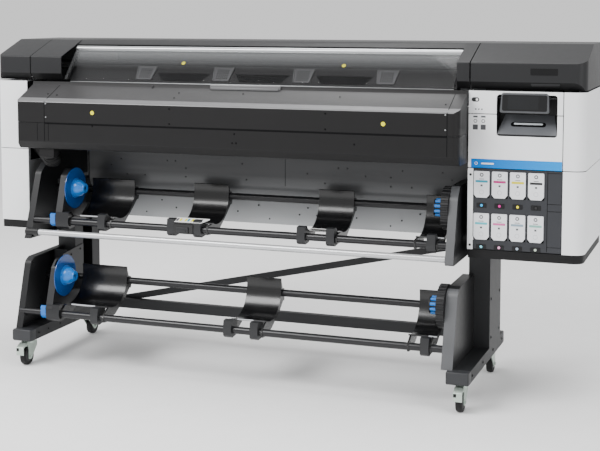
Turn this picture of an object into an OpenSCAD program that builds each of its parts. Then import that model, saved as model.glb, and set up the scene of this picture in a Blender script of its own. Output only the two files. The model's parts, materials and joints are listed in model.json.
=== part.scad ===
/* [Overall] */
// Width over the side panels
machine_w = 2583; // [2560:1:2600]
// Height of the top covers above the floor
top_z = 1402; // [1400:1:1406]
// Front plane of the side panels
front_y = -145; // [-146:1:-144]
// Rear plane of the side panels
rear_y = 385; // [384:1:388]
// Wall of the moulded covers
shell = 3.5; // [2.5:0.5:4]
// Wall of the folded steel sheet
sheet = 3; // [2:0.5:4]

/* [Stand] */
// Left face of the left foot and column
left_leg_x = -1100; // [-1101:1:-1099]
// Left face of the right foot and column
right_leg_x = 812; // [811:1:813]
// Width of a foot tube
foot_w = 88; // [86:1:90]
// Underside of the feet
foot_z = 112; // [112:1:113]
// Top of the feet
foot_top = 160; // [158:1:160]
// Depth of a column
column_d = 225; // [220:1:226]
// Front face of the columns
column_y = 22; // [20:1:24]

/* [Casters] */
// Radius of a caster wheel
caster_r = 37.5; // [36:0.5:38]
// Width of a caster wheel
caster_w = 28; // [26:1:30]
// Distance from the swivel axis to the wheel axle
caster_trail = 20; // [18:1:22]
// Radius of the wheel axle
axle_r = 4; // [4:0.5:5]

/* [Roll stations] */
// Radius of the roll support bars
bar_r = 15; // [14:0.5:15]
// Inner radius of a curved media deflector
deflector_r = 121; // [119:1:122]
// Thickness of a curved media deflector
deflector_t = 6; // [5:1:7]
// Radius of the blue end disc
disc_r = 90; // [80:1:92]
// Radius of the right drive wheel
drive_r = 87; // [80:1:88]
// Radius of the hub that enters the media core
core_hub_r = 37.8; // [37.5:0.1:37.9]
// Radius of the hub spindles
spindle_r = 10; // [9:0.5:11]

/* [Print engine] */
// Left side of the front module
module_x0 = -1107; // [-1108:1:-1106]
// Right side of the front module
module_x1 = 836; // [835:1:836]
// Front plane of the front module
module_y = -295; // [-297:1:-293]
// Left edge of the window
window_x0 = -971; // [-972:1:-970]
// Right edge of the window
window_x1 = 788; // [787:1:789]
// Radius of the carriage rail rod
rail_r = 12; // [10:1:12]

/* [Ink and control panel] */
// Width of an ink cartridge
ink_w = 61; // [60:0.5:62]
// Height of an ink cartridge
ink_h = 104; // [102:1:106]
// Depth of an ink cartridge
ink_d = 190; // [160:5:200]
// Spacing of the cartridges
ink_pitch = 70.7; // [70:0.1:72]
// Width of the display
display_w = 190; // [186:1:192]
// Height of the display
display_h = 77; // [74:1:78]

/* [Hidden] */
$fn = 48;

half_w = machine_w / 2;
fit = 0.05;
gap = 0.6;
seam = 1.4;

// Panel heights
panel_z = 597;
panel_split = 920;
panel_top = 1222;
cover_z = 1228;
tray_z = 563;

// Side boxes and the fascia between them
left_box_x = -1145;
trim_x = 838;
fascia_x0 = 839;
fascia_x1 = 1206;
bay_x0 = 862;

// Legs
column_x1 = left_leg_x + foot_w;
foot_y0 = -370;
foot_y1 = 333;

// Caster places: swivel axis and which way the wheel trails
caster_xl = -1056;
caster_xr = 862;
swivel_front = -310;
swivel_rear = 225;
fork_gap = 3;
fork_t = 3;
stem_r = 6;
pedal_at = [-344, 97];
pedal_pin_r = 3;
front_pedal_y = -rear_y;

// Roll stations: [y, z] of the roll axis, the two bars and the deflector frame
upper_axis = [-128, 753];
lower_axis = [-228, 382];
upper_front_bar = [-218, 618];
upper_rear_bar = [15, 730];
lower_front_bar = [-308, 230];
lower_rear_bar = [-85, 347];
diverter_at = [-245, 568.5];
diverter_r = 12.5;
cheek_t = 30;
arm_x0 = -957;
arm_x1 = -925;
guide_x0 = -900;
upper_seat_x = 777;
lower_seat_x = 787;
bar_clear = 0.4;
hook_w = 35;

// Ink bays
ink_x0 = 864;
ink_rows = [804, 638];
ink_y = -146;

// Control panel
recess_x0 = 949;
recess_x1 = 1184;
recess_z0 = 1047;
recess_z1 = 1210;
recess_d = 78;
fascia_split = 1132;
display_x0 = 964;
display_hinge = [-112, 1196];
display_tilt = 8;
display_pin_r = 3;
button_at = [852, 1180];
button_size = [28, 15];

// Carriage rail and feed roller: [y, z] of their axes
rail_at = [52, 1300];
roller_at = [224, 1136];
journal_r = 8;

function unit(v) = v / norm(v);
function turned(v, a) = [v.x * cos(a) - v.y * sin(a), v.x * sin(a) + v.y * cos(a)];

// Points of one outline corner [x, y, r], rounded by an arc of radius r
function corner(a, b, c, n) =
  let (r = len(b) > 2 ? b[2] : 0, p = [b.x, b.y])
  r == 0 ? [p] :
  let (
    u = unit([a.x, a.y] - p),
    w = unit([c.x, c.y] - p),
    half = acos(u * w) / 2,
    centre = p + unit(u + w) * r / sin(half),
    start = p + u * r / tan(half) - centre,
    side = u.x * w.y - u.y * w.x > 0 ? -1 : 1
  )
  [for (i = [0:n]) centre + turned(start, side * (180 - 2 * half) * i / n)];

// Closed outline from corner points [x, y, r]
function outline(pts, n = 6) =
  let (m = len(pts))
  [for (i = [0:m - 1], q = corner(pts[(i + m - 1) % m], pts[i], pts[(i + 1) % m], n)) q];

// Corner points of a rectangle whose corners all have radius r
function rect_points(lo, hi, r) =
  [[lo.x, lo.y, r], [hi.x, lo.y, r], [hi.x, hi.y, r], [lo.x, hi.y, r]];

// Box between two corners
module block(lo, hi) {
  translate(lo) cube(hi - lo);
}

// A [y, z] profile drawn along X
module along_x(x0, x1) {
  translate([x0, 0, 0]) rotate([90, 0, 90]) linear_extrude(x1 - x0) children();
}

// An [x, z] profile drawn along Y
module along_y(y0, y1) {
  translate([0, y1, 0]) rotate([90, 0, 0]) linear_extrude(y1 - y0) children();
}

// A round bar along X with its axis at [y, z]
module rod_x(x0, x1, at, r) {
  translate([x0, at.x, at.y]) rotate([0, 90, 0]) cylinder(h = x1 - x0, r = r);
}

// A cone along X with its axis at [y, z]
module cone_x(x0, x1, at, r0, r1) {
  translate([x0, at.x, at.y]) rotate([0, 90, 0]) cylinder(h = x1 - x0, r1 = r0, r2 = r1);
}

// A curved wall around an axis along X, from angle a0 to a1 measured from +Y to +Z
module arc_wall(x0, x1, at, ri, ro, a0, a1) {
  translate([x0, at.x, at.y]) rotate([90, 0, 90]) rotate([0, 0, a0])
    rotate_extrude(angle = a1 - a0) translate([ri, 0]) square([ro - ri, x1 - x0]);
}

// ---------- Stand ----------

// Foot tube with rounded plastic-capped ends and a C-channel column on it
module leg(x, slot_side, post_top) {
  difference() {
    along_x(x, x + foot_w) polygon(outline(rect_points([foot_y0, foot_z], [foot_y1, foot_top], 8)));
    block([x + sheet, foot_y0 + 12, foot_z + 4], [x + foot_w - sheet, foot_y1 - 12, foot_top - 4]);
    for (y = [swivel_front, swivel_rear])
      translate([slot_side > 0 ? caster_xl : caster_xr, y, foot_z - 1])
        cylinder(h = 6, r = stem_r + fit);
  }
  difference() {
    block([x, column_y, foot_top], [x + foot_w, column_y + column_d, post_top]);
    block([x + sheet, column_y + sheet, foot_top - 1],
      [x + foot_w - sheet, column_y + column_d - sheet, post_top + 1]);
    slot_x0 = slot_side > 0 ? x + foot_w - sheet - 1 : x - 1;
    block([slot_x0, column_y + 70, foot_top + 60],
      [slot_x0 + sheet + 2, column_y + column_d - 70, post_top - 28]);
  }
}

module left_leg() {
  color("dimgray") leg(left_leg_x, 1, panel_z);
}

module right_leg() {
  color("dimgray") leg(right_leg_x, -1, tray_z);
}

// Cross beam between the columns and the diagonal flat bar behind it
module leg_braces() {
  color("dimgray") {
    difference() {
      block([column_x1, 120, 168], [right_leg_x, 150, 212]);
      block([column_x1 - 1, 120 + sheet, 168 + sheet], [right_leg_x + 1, 150 - sheet, 212 - sheet]);
    }
    along_y(154, 160)
      polygon([[column_x1, 152], [right_leg_x, 552], [right_leg_x, 582], [column_x1, 182]]);
  }
}

// Main beam, uprights, forward arms, end plates, printing platen and the rod of the carriage rail
module chassis_frame() {
  color("gray") {
    difference() {
      block([-1140, 140, panel_z], [1196, 240, 757]);
      block([-1141, 140 + sheet, panel_z + sheet], [1197, 240 - sheet, 757 - sheet]);
    }
    for (x = [-1010, -340, 330, 800])
      difference() {
        union() {
          block([x, 150, 756], [x + 30, 190, 1151]);
          block([x, -144, 1000], [x + 30, 151, 1030]);
        }
        block([x + sheet, -143, 1003], [x + 30 - sheet, 148, 1027]);
      }
    block([-960, -90, 1150], [780, 200, 1156]);
    block([-1140, 0, 756], [-1134, 360, 1270]);
    block([1190, 60, 756], [1196, 360, 1270]);
    block([1190, -60, 925], [1196, 61, 1270]);
    for (x = [-1140, 1190]) block([x, 10, 1269], [x + 6, 100, 1340]);
    // side brackets of the platen, with the roller's bearings behind
    for (x = [-960, 774]) {
      along_x(x, x + 6) polygon([[-92, 1152], [-24, 1152], [-24, 1291], [-30, 1294], [-92, 1224]]);
      difference() {
        block([x, 195, 1112], [x + 6, 250, 1156]);
        rod_x(x - 1, x + 7, roller_at, journal_r + fit);
      }
    }
    // sloped inner rail behind the window
    along_x(-955, 775) polygon([[-92, 1224], [-30, 1294], [-26, 1290], [-26, 1284], [-84, 1218]]);
    rod_x(-1134, 1190, rail_at, rail_r);
  }
}

// Roller that feeds the media over the platen
module feed_roller() {
  color("silver") {
    rod_x(-950, 770, roller_at, 15);
    rod_x(-964, 784, roller_at, journal_r);
  }
}

module print_carriage() {
  color("dimgray") {
    difference() {
      union() {
        block([880, -20, 1185], [1120, 120, 1270]);
        block([900, 25, 1269], [1100, 80, 1330]);
      }
      rod_x(879, 1121, rail_at, rail_r + fit);
      block([890, -12, 1190], [1110, 20, 1271]);
    }
  }
}

// ---------- Covers and panels ----------

// Tray under a side box, with its front corners rounded in plan
module tray(x0, x1, left_r, right_r) {
  wall = 3;
  y0 = front_y + 3;
  y1 = rear_y - 6;
  difference() {
    translate([0, 0, tray_z]) linear_extrude(panel_z - tray_z)
      polygon(outline([[x0, y0, left_r], [x1, y0, right_r], [x1, y1], [x0, y1]]));
    translate([0, 0, tray_z + wall]) linear_extrude(panel_z - tray_z)
      polygon(outline([[x0 + wall, y0 + wall, max(left_r - wall, 1)],
        [x1 - wall, y0 + wall, max(right_r - wall, 1)], [x1 - wall, y1 - wall],
        [x0 + wall, y1 - wall]]));
  }
}

module base_trays() {
  color("black") {
    tray(-half_w + 4, -1149, 12, 3);
    tray(842, half_w - 4, 3, 42);
  }
}

// Box wall of one side panel, in plan, cut to a height
module left_wall(z0, z1) {
  difference() {
    translate([0, 0, z0]) linear_extrude(z1 - z0)
      polygon(outline([[-half_w, front_y, 14], [left_box_x, front_y, 3],
        [left_box_x, rear_y], [-half_w, rear_y]]));
    translate([0, 0, z0 - 1]) linear_extrude(z1 - z0 + 2)
      polygon(outline([[-half_w + shell, front_y + shell, 11], [left_box_x - shell, front_y + shell],
        [left_box_x - shell, rear_y - shell], [-half_w + shell, rear_y - shell]]));
  }
}

module left_side_panels() {
  color("gainsboro") difference() {
    union() {
      left_wall(panel_z, panel_split - seam);
      left_wall(panel_split + seam, panel_top);
    }
    // side mouth where the exhaust hose enters, and the way for the carriage
    block([left_box_x - shell - 1, -127, 866], [left_box_x + 1, -1, 1000]);
    block([left_box_x - shell - 1, 60, 1020], [left_box_x + 1, rear_y - shell, panel_top + 1]);
  }
}

module right_wall(z0, z1) {
  translate([0, 0, z0]) linear_extrude(z1 - z0)
    polygon(outline([[fascia_x1 + seam, front_y], [half_w, front_y, 45], [half_w, rear_y],
      [half_w - shell, rear_y], [half_w - shell, front_y + shell, 41.5],
      [fascia_x1 + seam, front_y + shell]]));
}

module right_side_panels() {
  color("gainsboro") {
    right_wall(panel_z, panel_split - seam);
    right_wall(panel_split + seam, panel_top);
  }
}

// Folded rear sheet with vent slots and the power inlet
module back_panel() {
  y0 = rear_y - 6;
  y1 = rear_y - 4;
  inlet = [1010, 640];
  inlet_w = 32;
  inlet_h = 24;
  slot_pitch = 14;
  color("gray") {
    difference() {
      union() {
        block([left_box_x + 1, y0, panel_z + 3], [half_w - shell - 1, y1, top_z - 12]);
        block([-half_w + 4, y0, cover_z - 2], [left_box_x + 2, y1, top_z - 12]);
      }
      for (x = [-800, -200, 400], z = [1090:slot_pitch:1244])
        block([x, y0 - 1, z], [x + 220, y1 + 1, z + 4]);
      block([inlet.x, y0 - 1, inlet.y], [inlet.x + inlet_w, y1 + 1, inlet.y + inlet_h]);
    }
    difference() {
      block([inlet.x - 6, y0 - 20, inlet.y - 6], [inlet.x + inlet_w + 6, y0, inlet.y + inlet_h + 6]);
      block([inlet.x, y0 - 14, inlet.y], [inlet.x + inlet_w, y0 + 1, inlet.y + inlet_h]);
    }
  }
}

// Side profile of the top covers, less a skin of thickness t
module cover_profile(t) {
  bottom = t > 0 ? cover_z - 1 : cover_z;
  back = t > 0 ? rear_y - 7 : rear_y - 8;
  polygon(outline([
    [front_y + 20 + t, bottom, t > 0 ? 0 : 3],
    [front_y + t, 1257 + t / 3, 6],
    [front_y + t, 1331 - t / 3, 8],
    [45, top_z - t, 30],
    [back, top_z - t],
    [back, bottom]
  ]));
}

// Upright prism over a plan whose two front corners are rounded
module front_rounded(x0, x1, y0, z0, z1, left_r, right_r) {
  translate([0, 0, z0]) linear_extrude(z1 - z0)
    polygon(outline([[x0, y0, left_r], [x1, y0, right_r], [x1, rear_y], [x0, rear_y]]));
}

// Hollow top cover open underneath and behind; a side with no wall has thickness 0
module top_cover(x0, x1, left_r, right_r, left_t, right_t) {
  difference() {
    intersection() {
      along_x(x0, x1) cover_profile(0);
      front_rounded(x0, x1, front_y, cover_z - 5, top_z + 5, left_r, right_r);
    }
    intersection() {
      along_x(x0 + left_t, x1 - right_t) cover_profile(shell);
      front_rounded(x0 + left_t, x1 - right_t, front_y + shell, cover_z - 6, top_z + 6,
        left_t > 0 ? left_r - left_t : 0, right_t > 0 ? right_r - right_t : 0);
    }
  }
}

module left_top_covers() {
  color("dimgray") {
    top_cover(-half_w, -1129, 22, 3, shell, 0);
    top_cover(-1126, window_x0 - 1.5, 3, 3, 0, 0);
  }
}

module rear_top_covers() {
  color("dimgray") {
    top_cover(window_x1 + 1.5, 841, 3, 3, 0, 0);
    along_x(window_x0 - 1.5, window_x1 + 1.5)
      polygon([[3, 1381], [45, top_z], [rear_y - 8, top_z], [rear_y - 8, 1240],
        [rear_y - 11, 1240], [rear_y - 11, top_z - shell], [46, top_z - shell], [6, 1378]]);
  }
}

// Service cover over the ink end, hinged along its rear edge
module right_top_cover() {
  color("dimgray") {
    top_cover(845, half_w, 3, 45, 0, shell);
    block([1080, front_y + 3, 1246], [1190, front_y + 9, 1262]);
  }
}

// Window: front rail, sloped pane and end frames, turning about its top edge
module window_lid() {
  color("slategray") {
    along_x(window_x0, window_x1)
      polygon(outline([[-13, 1349], [-4, 1347], [7, 1354, 2], [8, 1371, 3],
        [-4, 1376, 4], [-14, 1367, 8]]));
    along_x(window_x0, window_x1)
      polygon([[-13, 1356], [-118, 1238], [-118, 1230], [-114, 1230], [-6, 1351]]);
    for (x = [window_x0, window_x1 - 14])
      along_x(x, x + 14)
        polygon([[-8, 1358], [-112, 1239], [-112, 1230], [-104, 1230], [2, 1350]]);
  }
}

// Plan of the front module's shells, less their wall w
module module_plan(w, z0, z1) {
  front_rounded(module_x0 + w, module_x1 - w, module_y + w, z0, z1, 14 - w, 30 - w);
}

// Front module, upper half
module module_upper_shell() {
  w = 4;
  color("dimgray") difference() {
    intersection() {
      along_x(module_x0, module_x1)
        polygon(outline([[module_y, 1054], [module_y, 1145, 14], [module_y + 30, 1158, 8],
          [front_y - 14, 1208, 6], [front_y - 10, panel_top], [front_y - 1, panel_top],
          [front_y - 1, 1054]]));
      module_plan(0, 1050, 1230);
    }
    intersection() {
      along_x(module_x0 + w, module_x1 - w)
        polygon([[module_y + w, 1053], [module_y + w, 1142], [module_y + 32, 1154],
          [front_y - 12, 1203], [front_y - 6, panel_top - w], [front_y, panel_top - w],
          [front_y, 1053]]);
      module_plan(w, 1040, 1240);
    }
  }
}

// Front module, lower half, with a wedge-shaped exhaust outlet under its left end
module module_lower_shell() {
  w = 4;
  outlet_x0 = -1016;
  outlet_x1 = -946;
  color("dimgray") difference() {
    union() {
      intersection() {
        along_x(module_x0, module_x1)
          polygon(outline([[module_y, 1052.5], [module_y, 972, 10], [module_y + 26, 939, 10],
            [front_y - 1, 939], [front_y - 1, 1052.5]]));
        module_plan(0, 930, 1060);
      }
      along_x(outlet_x0, outlet_x1) polygon([[-262, 901], [-186, 942], [-262, 942]]);
    }
    intersection() {
      along_x(module_x0 + w, module_x1 - w)
        polygon([[module_y + w, 1054], [module_y + w, 974], [module_y + 28, 943],
          [front_y, 943], [front_y, 1054]]);
      module_plan(w, 920, 1070);
    }
    along_x(outlet_x0 + w, outlet_x1 - w)
      polygon([[-258, 890], [-196, 924], [-196, 945], [-258, 945]]);
  }
}

// Route of the exhaust hose, from the outlet under the module to the left box
hose_p = [[-981, -224.5, 918.7], [-981, -190.7, 856], [-1066, -90, 906], [-1152, -62, 944]];
hose_r0 = 33;
hose_r1 = 42;
hose_rings = 18;
hose_sides = 16;
hose_ref = [1, 0.35, 0.1];
function bezier(p, t) = pow(1 - t, 3) * p[0] + 3 * t * pow(1 - t, 2) * p[1]
  + 3 * t * t * (1 - t) * p[2] + pow(t, 3) * p[3];
function hose_at(i) = bezier(hose_p, i / hose_rings);
function hose_dir(i) =
  i == 0 ? unit(hose_p[1] - hose_p[0]) : unit(hose_at(min(i + 1, hose_rings)) - hose_at(i - 1));
function hose_radius(i) = hose_r0 + (hose_r1 - hose_r0) * sin(90 * min(1, 3 * i / hose_rings));

module exhaust_hose() {
  points = [for (i = [0:hose_rings], k = [0:hose_sides - 1])
    let (d = hose_dir(i), a = unit(cross(d, hose_ref)), b = cross(d, a), t = 360 * k / hose_sides)
    hose_at(i) + hose_radius(i) * (a * cos(t) + b * sin(t))];
  sides = [for (i = [0:hose_rings - 1], k = [0:hose_sides - 1])
    let (n = (k + 1) % hose_sides)
    [i * hose_sides + k, i * hose_sides + n, (i + 1) * hose_sides + n, (i + 1) * hose_sides + k]];
  first = [for (k = [0:hose_sides - 1]) hose_sides - 1 - k];
  last = [for (k = [0:hose_sides - 1]) hose_rings * hose_sides + k];
  color("black") polyhedron(points, concat(sides, [first], [last]));
}

// Bent rear plate that the media runs down, with its lower left corner cut off
module media_plate() {
  bend_step = 16;
  bends = 5;
  function bend_y(i) = 6 * i * i / 2.2;
  color("darkgray") difference() {
    along_x(-951, 800)
      polygon(concat(
        [[55, 960], [55, 778]],
        [for (i = [1:bends]) [55 + bend_y(i), 778 - bend_step * i]],
        [[126, 600], [130, 600]],
        [for (i = [bends:-1:1]) [59 + bend_y(i), 779 - bend_step * i]],
        [[59, 778], [59, 960]]));
    along_y(-200, 200) polygon([[-952, 599], [-924, 599], [-952, 627]]);
  }
}

// ---------- Fascia, display and ink ----------

// White sheet with a side flange and the opening of the recess
module fascia_sheet(z0, z1) {
  difference() {
    union() {
      block([fascia_x0 + gap, front_y, z0], [fascia_x1 - seam, front_y + shell, z1]);
      block([fascia_x0 + gap, front_y, z0], [fascia_x0 + gap + shell, front_y + 80, z1]);
    }
    along_y(front_y - 1, front_y + shell + 1)
      polygon(outline(rect_points([recess_x0 + 1, recess_z0 + 1], [recess_x1 - 1, recess_z1 - 1], 12)));
  }
}

module fascia_upper() {
  color("gainsboro") difference() {
    fascia_sheet(fascia_split + seam, panel_top);
    along_y(front_y - 1, front_y + shell + 1)
      polygon(outline(rect_points(button_at - [gap, gap], button_at + button_size + [gap, gap], 8)));
  }
}

// Lower fascia with the indicator band's seat, and the corner trim beside the ink bays
module fascia_lower() {
  color("gainsboro") {
    fascia_sheet(panel_split + seam, fascia_split - seam);
    difference() {
      block([trim_x + 1, front_y, 597], [861, front_y + 22, 918]);
      block([trim_x + 1 + shell, front_y + shell, 596], [862, front_y + 23, 919]);
    }
  }
}

// Black tub behind the fascia that holds the display
module panel_recess() {
  t = 2.5;
  back = front_y + recess_d;
  lo = [recess_x0, recess_z0];
  hi = [recess_x1, recess_z1];
  shelf_top = 1128;
  color("black") {
    difference() {
      along_y(front_y + shell + 0.5, back) polygon(outline(rect_points(lo - [t, t], hi + [t, t], 14)));
      along_y(front_y, back - t) polygon(outline(rect_points(lo, hi, 12)));
      rod_x(recess_x0 - 10, recess_x1 + 10, display_hinge, display_pin_r + fit);
    }
    // inclined shelf under the display, narrower towards its top
    intersection() {
      along_x(recess_x0 - 1, recess_x1 + 1)
        polygon([[front_y + 4, recess_z0 - 1], [back - 1, recess_z0 - 1], [back - 1, shelf_top],
          [back - 5, shelf_top], [front_y + 4, recess_z0 + 8]]);
      along_y(front_y, back)
        polygon([[recess_x0 - 1, recess_z0 - 1], [recess_x1 + 1, recess_z0 - 1],
          [recess_x1 - 22, shelf_top], [recess_x0 + 22, shelf_top]]);
    }
  }
}

// Display unit on a hinge pin, its face standing proud of the fascia
module display() {
  face_y = -40;
  face_z = -62;
  top_z0 = face_z + display_h;
  pin_reach = 1.6;
  color("darkslategray") {
    translate([0, display_hinge.x, display_hinge.y]) rotate([-display_tilt, 0, 0]) {
      intersection() {
        along_x(display_x0, display_x0 + display_w)
          polygon(outline([[face_y, face_z, 2], [face_y + 6, face_z, 2], [-14, -50, 6], [-12, 4, 6],
            [face_y + 5, top_z0 - 14], [face_y + 4, top_z0, 1.5], [face_y, top_z0, 1.5]]));
        along_y(-100, 100)
          polygon(outline([[display_x0, face_z, 7], [display_x0 + display_w, face_z, 7],
            [display_x0 + display_w - 5, top_z0, 10], [display_x0 + 5, top_z0, 10]]));
      }
      // arm from the body to the pin on each side
      for (x = [display_x0 + 2, display_x0 + display_w - 8])
        along_x(x, x + 6) polygon([[-16, -6], [-2, -6], [4, 0], [-2, 6], [-16, 4]]);
    }
    rod_x(recess_x0 - pin_reach, recess_x1 + pin_reach, display_hinge, display_pin_r);
  }
}

module power_button() {
  lo = button_at;
  hi = button_at + button_size;
  color("gray") {
    along_y(front_y - 1.5, front_y + shell + 6) polygon(outline(rect_points(lo, hi, 7.4)));
    along_y(front_y + shell + 3, front_y + shell + 6)
      polygon(outline(rect_points(lo - [4, 4], hi + [4, 4], 5)));
  }
}

function ink_x(i) = ink_x0 + ink_pitch * (i % 4);
function ink_z(i) = ink_rows[floor(i / 4)];

// Front plate with one sleeve behind each cartridge opening
module cartridge_rack() {
  clear = 0.8;
  wall = 2;
  reach = clear + wall;
  sleeve_y1 = 52;
  color("dimgray") difference() {
    union() {
      block([bay_x0 + 1, front_y + 4, 600], [fascia_x1 - 1, front_y + 9, 918]);
      for (i = [0:7])
        block([ink_x(i) - reach, front_y + 8, ink_z(i) - reach],
          [ink_x(i) + ink_w + reach, sleeve_y1, ink_z(i) + ink_h + reach]);
      for (x = [bay_x0 + 1, fascia_x1 - 4])
        block([x, front_y + 4, 600], [x + 3, sleeve_y1, 918]);
      block([bay_x0 + 1, 20, 600], [fascia_x1 - 1, sleeve_y1, 603]);
    }
    for (i = [0:7])
      block([ink_x(i) - clear, front_y, ink_z(i) - clear],
        [ink_x(i) + ink_w + clear, sleeve_y1 - 4, ink_z(i) + ink_h + clear]);
  }
}

// Ink cartridge: clipped lower corners, shallow label seat and hollow body
module cartridge(i) {
  x0 = ink_x(i);
  x1 = x0 + ink_w;
  z0 = ink_z(i);
  z1 = z0 + ink_h;
  color("whitesmoke") difference() {
    along_y(ink_y, ink_y + ink_d)
      polygon(outline([[x0, z0 + 12, 2], [x0 + 10, z0, 3], [x1 - 10, z0, 3], [x1, z0 + 12, 2],
        [x1, z1, 4], [x0, z1, 4]]));
    block([x0 + 4, ink_y - 1, z1 - 26], [x1 - 4, ink_y + 0.8, z1 - 4]);
    block([x0 + 3, ink_y + 4, z0 + 14], [x1 - 3, ink_y + ink_d - 4, z1 - 3]);
  }
}

module cartridge_1() { cartridge(0); }
module cartridge_2() { cartridge(1); }
module cartridge_3() { cartridge(2); }
module cartridge_4() { cartridge(3); }
module cartridge_5() { cartridge(4); }
module cartridge_6() { cartridge(5); }
module cartridge_7() { cartridge(6); }
module cartridge_8() { cartridge(7); }

// ---------- Roll stations ----------

// Folded side plate: flat wall with a flange around its front and top edges
module folded_cheek(x0, x1, pts) {
  inset = [[5, -1], [4, -4], [4, -4], [1, -4], [1, -1]];
  difference() {
    along_x(x0, x1) polygon(outline(pts));
    along_x(x0 + sheet, x1 + 1)
      polygon(outline([for (i = [0:len(pts) - 1])
        [pts[i].x + inset[i].x, pts[i].y + inset[i].y, len(pts[i]) > 2 ? pts[i][2] - 3 : 0]]));
  }
}

module upper_left_cheek() {
  x0 = left_leg_x;
  x1 = left_leg_x + cheek_t;
  back = column_y - gap;
  color("gray") {
    difference() {
      union() {
        folded_cheek(x0, x1, [[-262, 540], [-163, 820, 40], [-110, 862, 30], [back, 862], [back, 540]]);
        block([x0, -262, 540], [x1, back, 546]);
      }
      for (at = [upper_front_bar, upper_rear_bar])
        rod_x(x0 + sheet, x1 + 1, at, bar_r + gap);
    }
    block([x0, back - 1, 610], [x0 + sheet, 139, 740]);
    rod_x(x0 + sheet - 1, -1037, diverter_at, 17);
  }
}

module lower_left_cheek() {
  x0 = left_leg_x;
  x1 = left_leg_x + cheek_t;
  back = column_y - gap;
  color("gray") {
    difference() {
      folded_cheek(x0, x1,
        [[-342, foot_top], [-262, 440, 34], [-232, 456, 20], [back, 462], [back, foot_top]]);
      rod_x(x0 + sheet, x1 + 1, lower_front_bar, bar_r + gap);
    }
    block([x1 - 4, -60, foot_top], [x1 - 1, back, 458]);
    // inner plate beside the column, with a hole for the rear bar
    difference() {
      along_x(column_x1 + 0.5, column_x1 + 3.5)
        polygon([[-95, foot_top], [-95, 445], [88, 463], [88, foot_top]]);
      rod_x(column_x1, column_x1 + 4, lower_rear_bar, bar_r + bar_clear);
    }
    block([x1 - 2, -60, foot_top + 120], [column_x1 + 1, -57, 458]);
  }
}

// Moulded right-hand cheek, hollow and open behind, with a boss for the drive spindle
module boss_cheek(x0, x1, axis, pts, inner) {
  difference() {
    union() {
      difference() {
        along_x(x0, x1) polygon(outline(pts));
        along_x(x0 + shell, x1 - shell) polygon(inner);
      }
      rod_x(x0 + 1, x1 - 1, axis, 20);
    }
    rod_x(x0 - 1, x1 - 3, axis, spindle_r + fit);
  }
}

module upper_right_cheek() {
  color("dimgray") boss_cheek(upper_seat_x, 811, upper_axis,
    [[-262, 545, 12], [-190, 800, 50], [-150, 846, 40], [50, 846, 12], [50, 620, 10], [22, 545, 12]],
    [[-250, 549], [-176, 800], [-146, 840], [51, 840], [51, 624], [18, 549]]);
}

module lower_right_cheek() {
  color("dimgray") boss_cheek(lower_seat_x, 833, lower_axis,
    [[-348, foot_top], [-265, 450, 40], [-215, 462, 20], [21, 462], [21, foot_top]],
    [[-340, foot_top - 1], [-258, 444], [-215, 456], [22, 456], [22, foot_top - 1]]);
}

// Four support bars of the two stations
module roll_bars() {
  color("black") {
    for (at = [upper_front_bar, upper_rear_bar])
      rod_x(left_leg_x + sheet, upper_seat_x, at, bar_r);
    for (at = [lower_front_bar, lower_rear_bar])
      rod_x(left_leg_x + sheet, lower_seat_x, at, bar_r);
  }
}

module diverter_bar() {
  color("white") rod_x(-1037, upper_seat_x, diverter_at, diverter_r);
}

// Point at radius r and angle a around the roll axis
function around(axis, r, a) = axis + r * [cos(a), sin(a)];

// Curved guide around the roll, with a hood over the rear bar and hooks round the front bar
module deflector(x0, x1, axis, front_bar, rear_bar, hooks) {
  ro = deflector_r + deflector_t;
  seat = deflector_r + deflector_t / 2;
  rib_t = 8;
  difference() {
    union() {
      arc_wall(x0, x1, axis, deflector_r, ro, -114, 14);
      // hood over the rear bar
      along_x(x0, x1) polygon(concat(
        [for (a = [14:-11:-30]) around(axis, seat, a)],
        [rear_bar + [bar_r - 2, -34], rear_bar + [bar_r + 6, 0]],
        [for (a = [15:15:105]) around(rear_bar, bar_r + 6, a)]));
      // ribs that carry the trough between the bars
      for (x = [x0 + 6, x1 - rib_t])
        along_x(x, x + rib_t) polygon(concat(
          [for (a = [-30:-12:-114]) around(axis, seat, a)],
          [front_bar + [-6, 18], front_bar + [-18, 4], front_bar + [-12, -18],
            front_bar + [12, -20], axis + [10, -ro - 26], rear_bar + [-40, -66],
            rear_bar + [8, -26]]));
      for (x = hooks) hook(x, axis, front_bar);
    }
    rod_x(x0 - 80, x1 + 80, rear_bar, bar_r + bar_clear);
    rod_x(x0 - 80, x1 + 80, front_bar, bar_r + bar_clear);
  }
}

// Outline of a collar round the front bar
function collar_points(front_bar) =
  [for (d = [[-24, -20], [-27, 4], [-20, 42], [4, 44], [26, 22], [48, 2], [30, -26], [-10, -30]])
    front_bar + d];

// Collar round the front bar, joined to the trough by a gusset
module hook(x, axis, front_bar) {
  seat = deflector_r + deflector_t / 2;
  along_x(x, x + hook_w) polygon(collar_points(front_bar));
  along_x(x + 4, x + hook_w - 4)
    polygon([front_bar + [2, 36], around(axis, seat, -113), around(axis, seat, -100),
      front_bar + [30, -20]]);
}

module upper_deflector_a() {
  bar = upper_front_bar;
  label_x0 = -386;
  color("black") {
    deflector(-400, -237, upper_axis, upper_front_bar, upper_rear_bar, [-420, -300]);
    // seat of the loading label, and the latch box in front of the bar
    along_x(label_x0, -300)
      polygon([bar + [-24, 19], bar + [-24, 30], bar + [14, 44], bar + [18, 34], bar + [-12, 21]]);
    along_x(label_x0, -299)
      polygon([bar + [-30, -16], bar + [-30, 24], bar + [-16.5, 24], bar + [-16.5, -16]]);
  }
}

module upper_deflector_b() {
  color("black")
    deflector(176, 330, upper_axis, upper_front_bar, upper_rear_bar, [160, 285]);
}

module lower_deflector() {
  color("black")
    deflector(-112, 43, lower_axis, lower_front_bar, lower_rear_bar, [-126, -10]);
}

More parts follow.
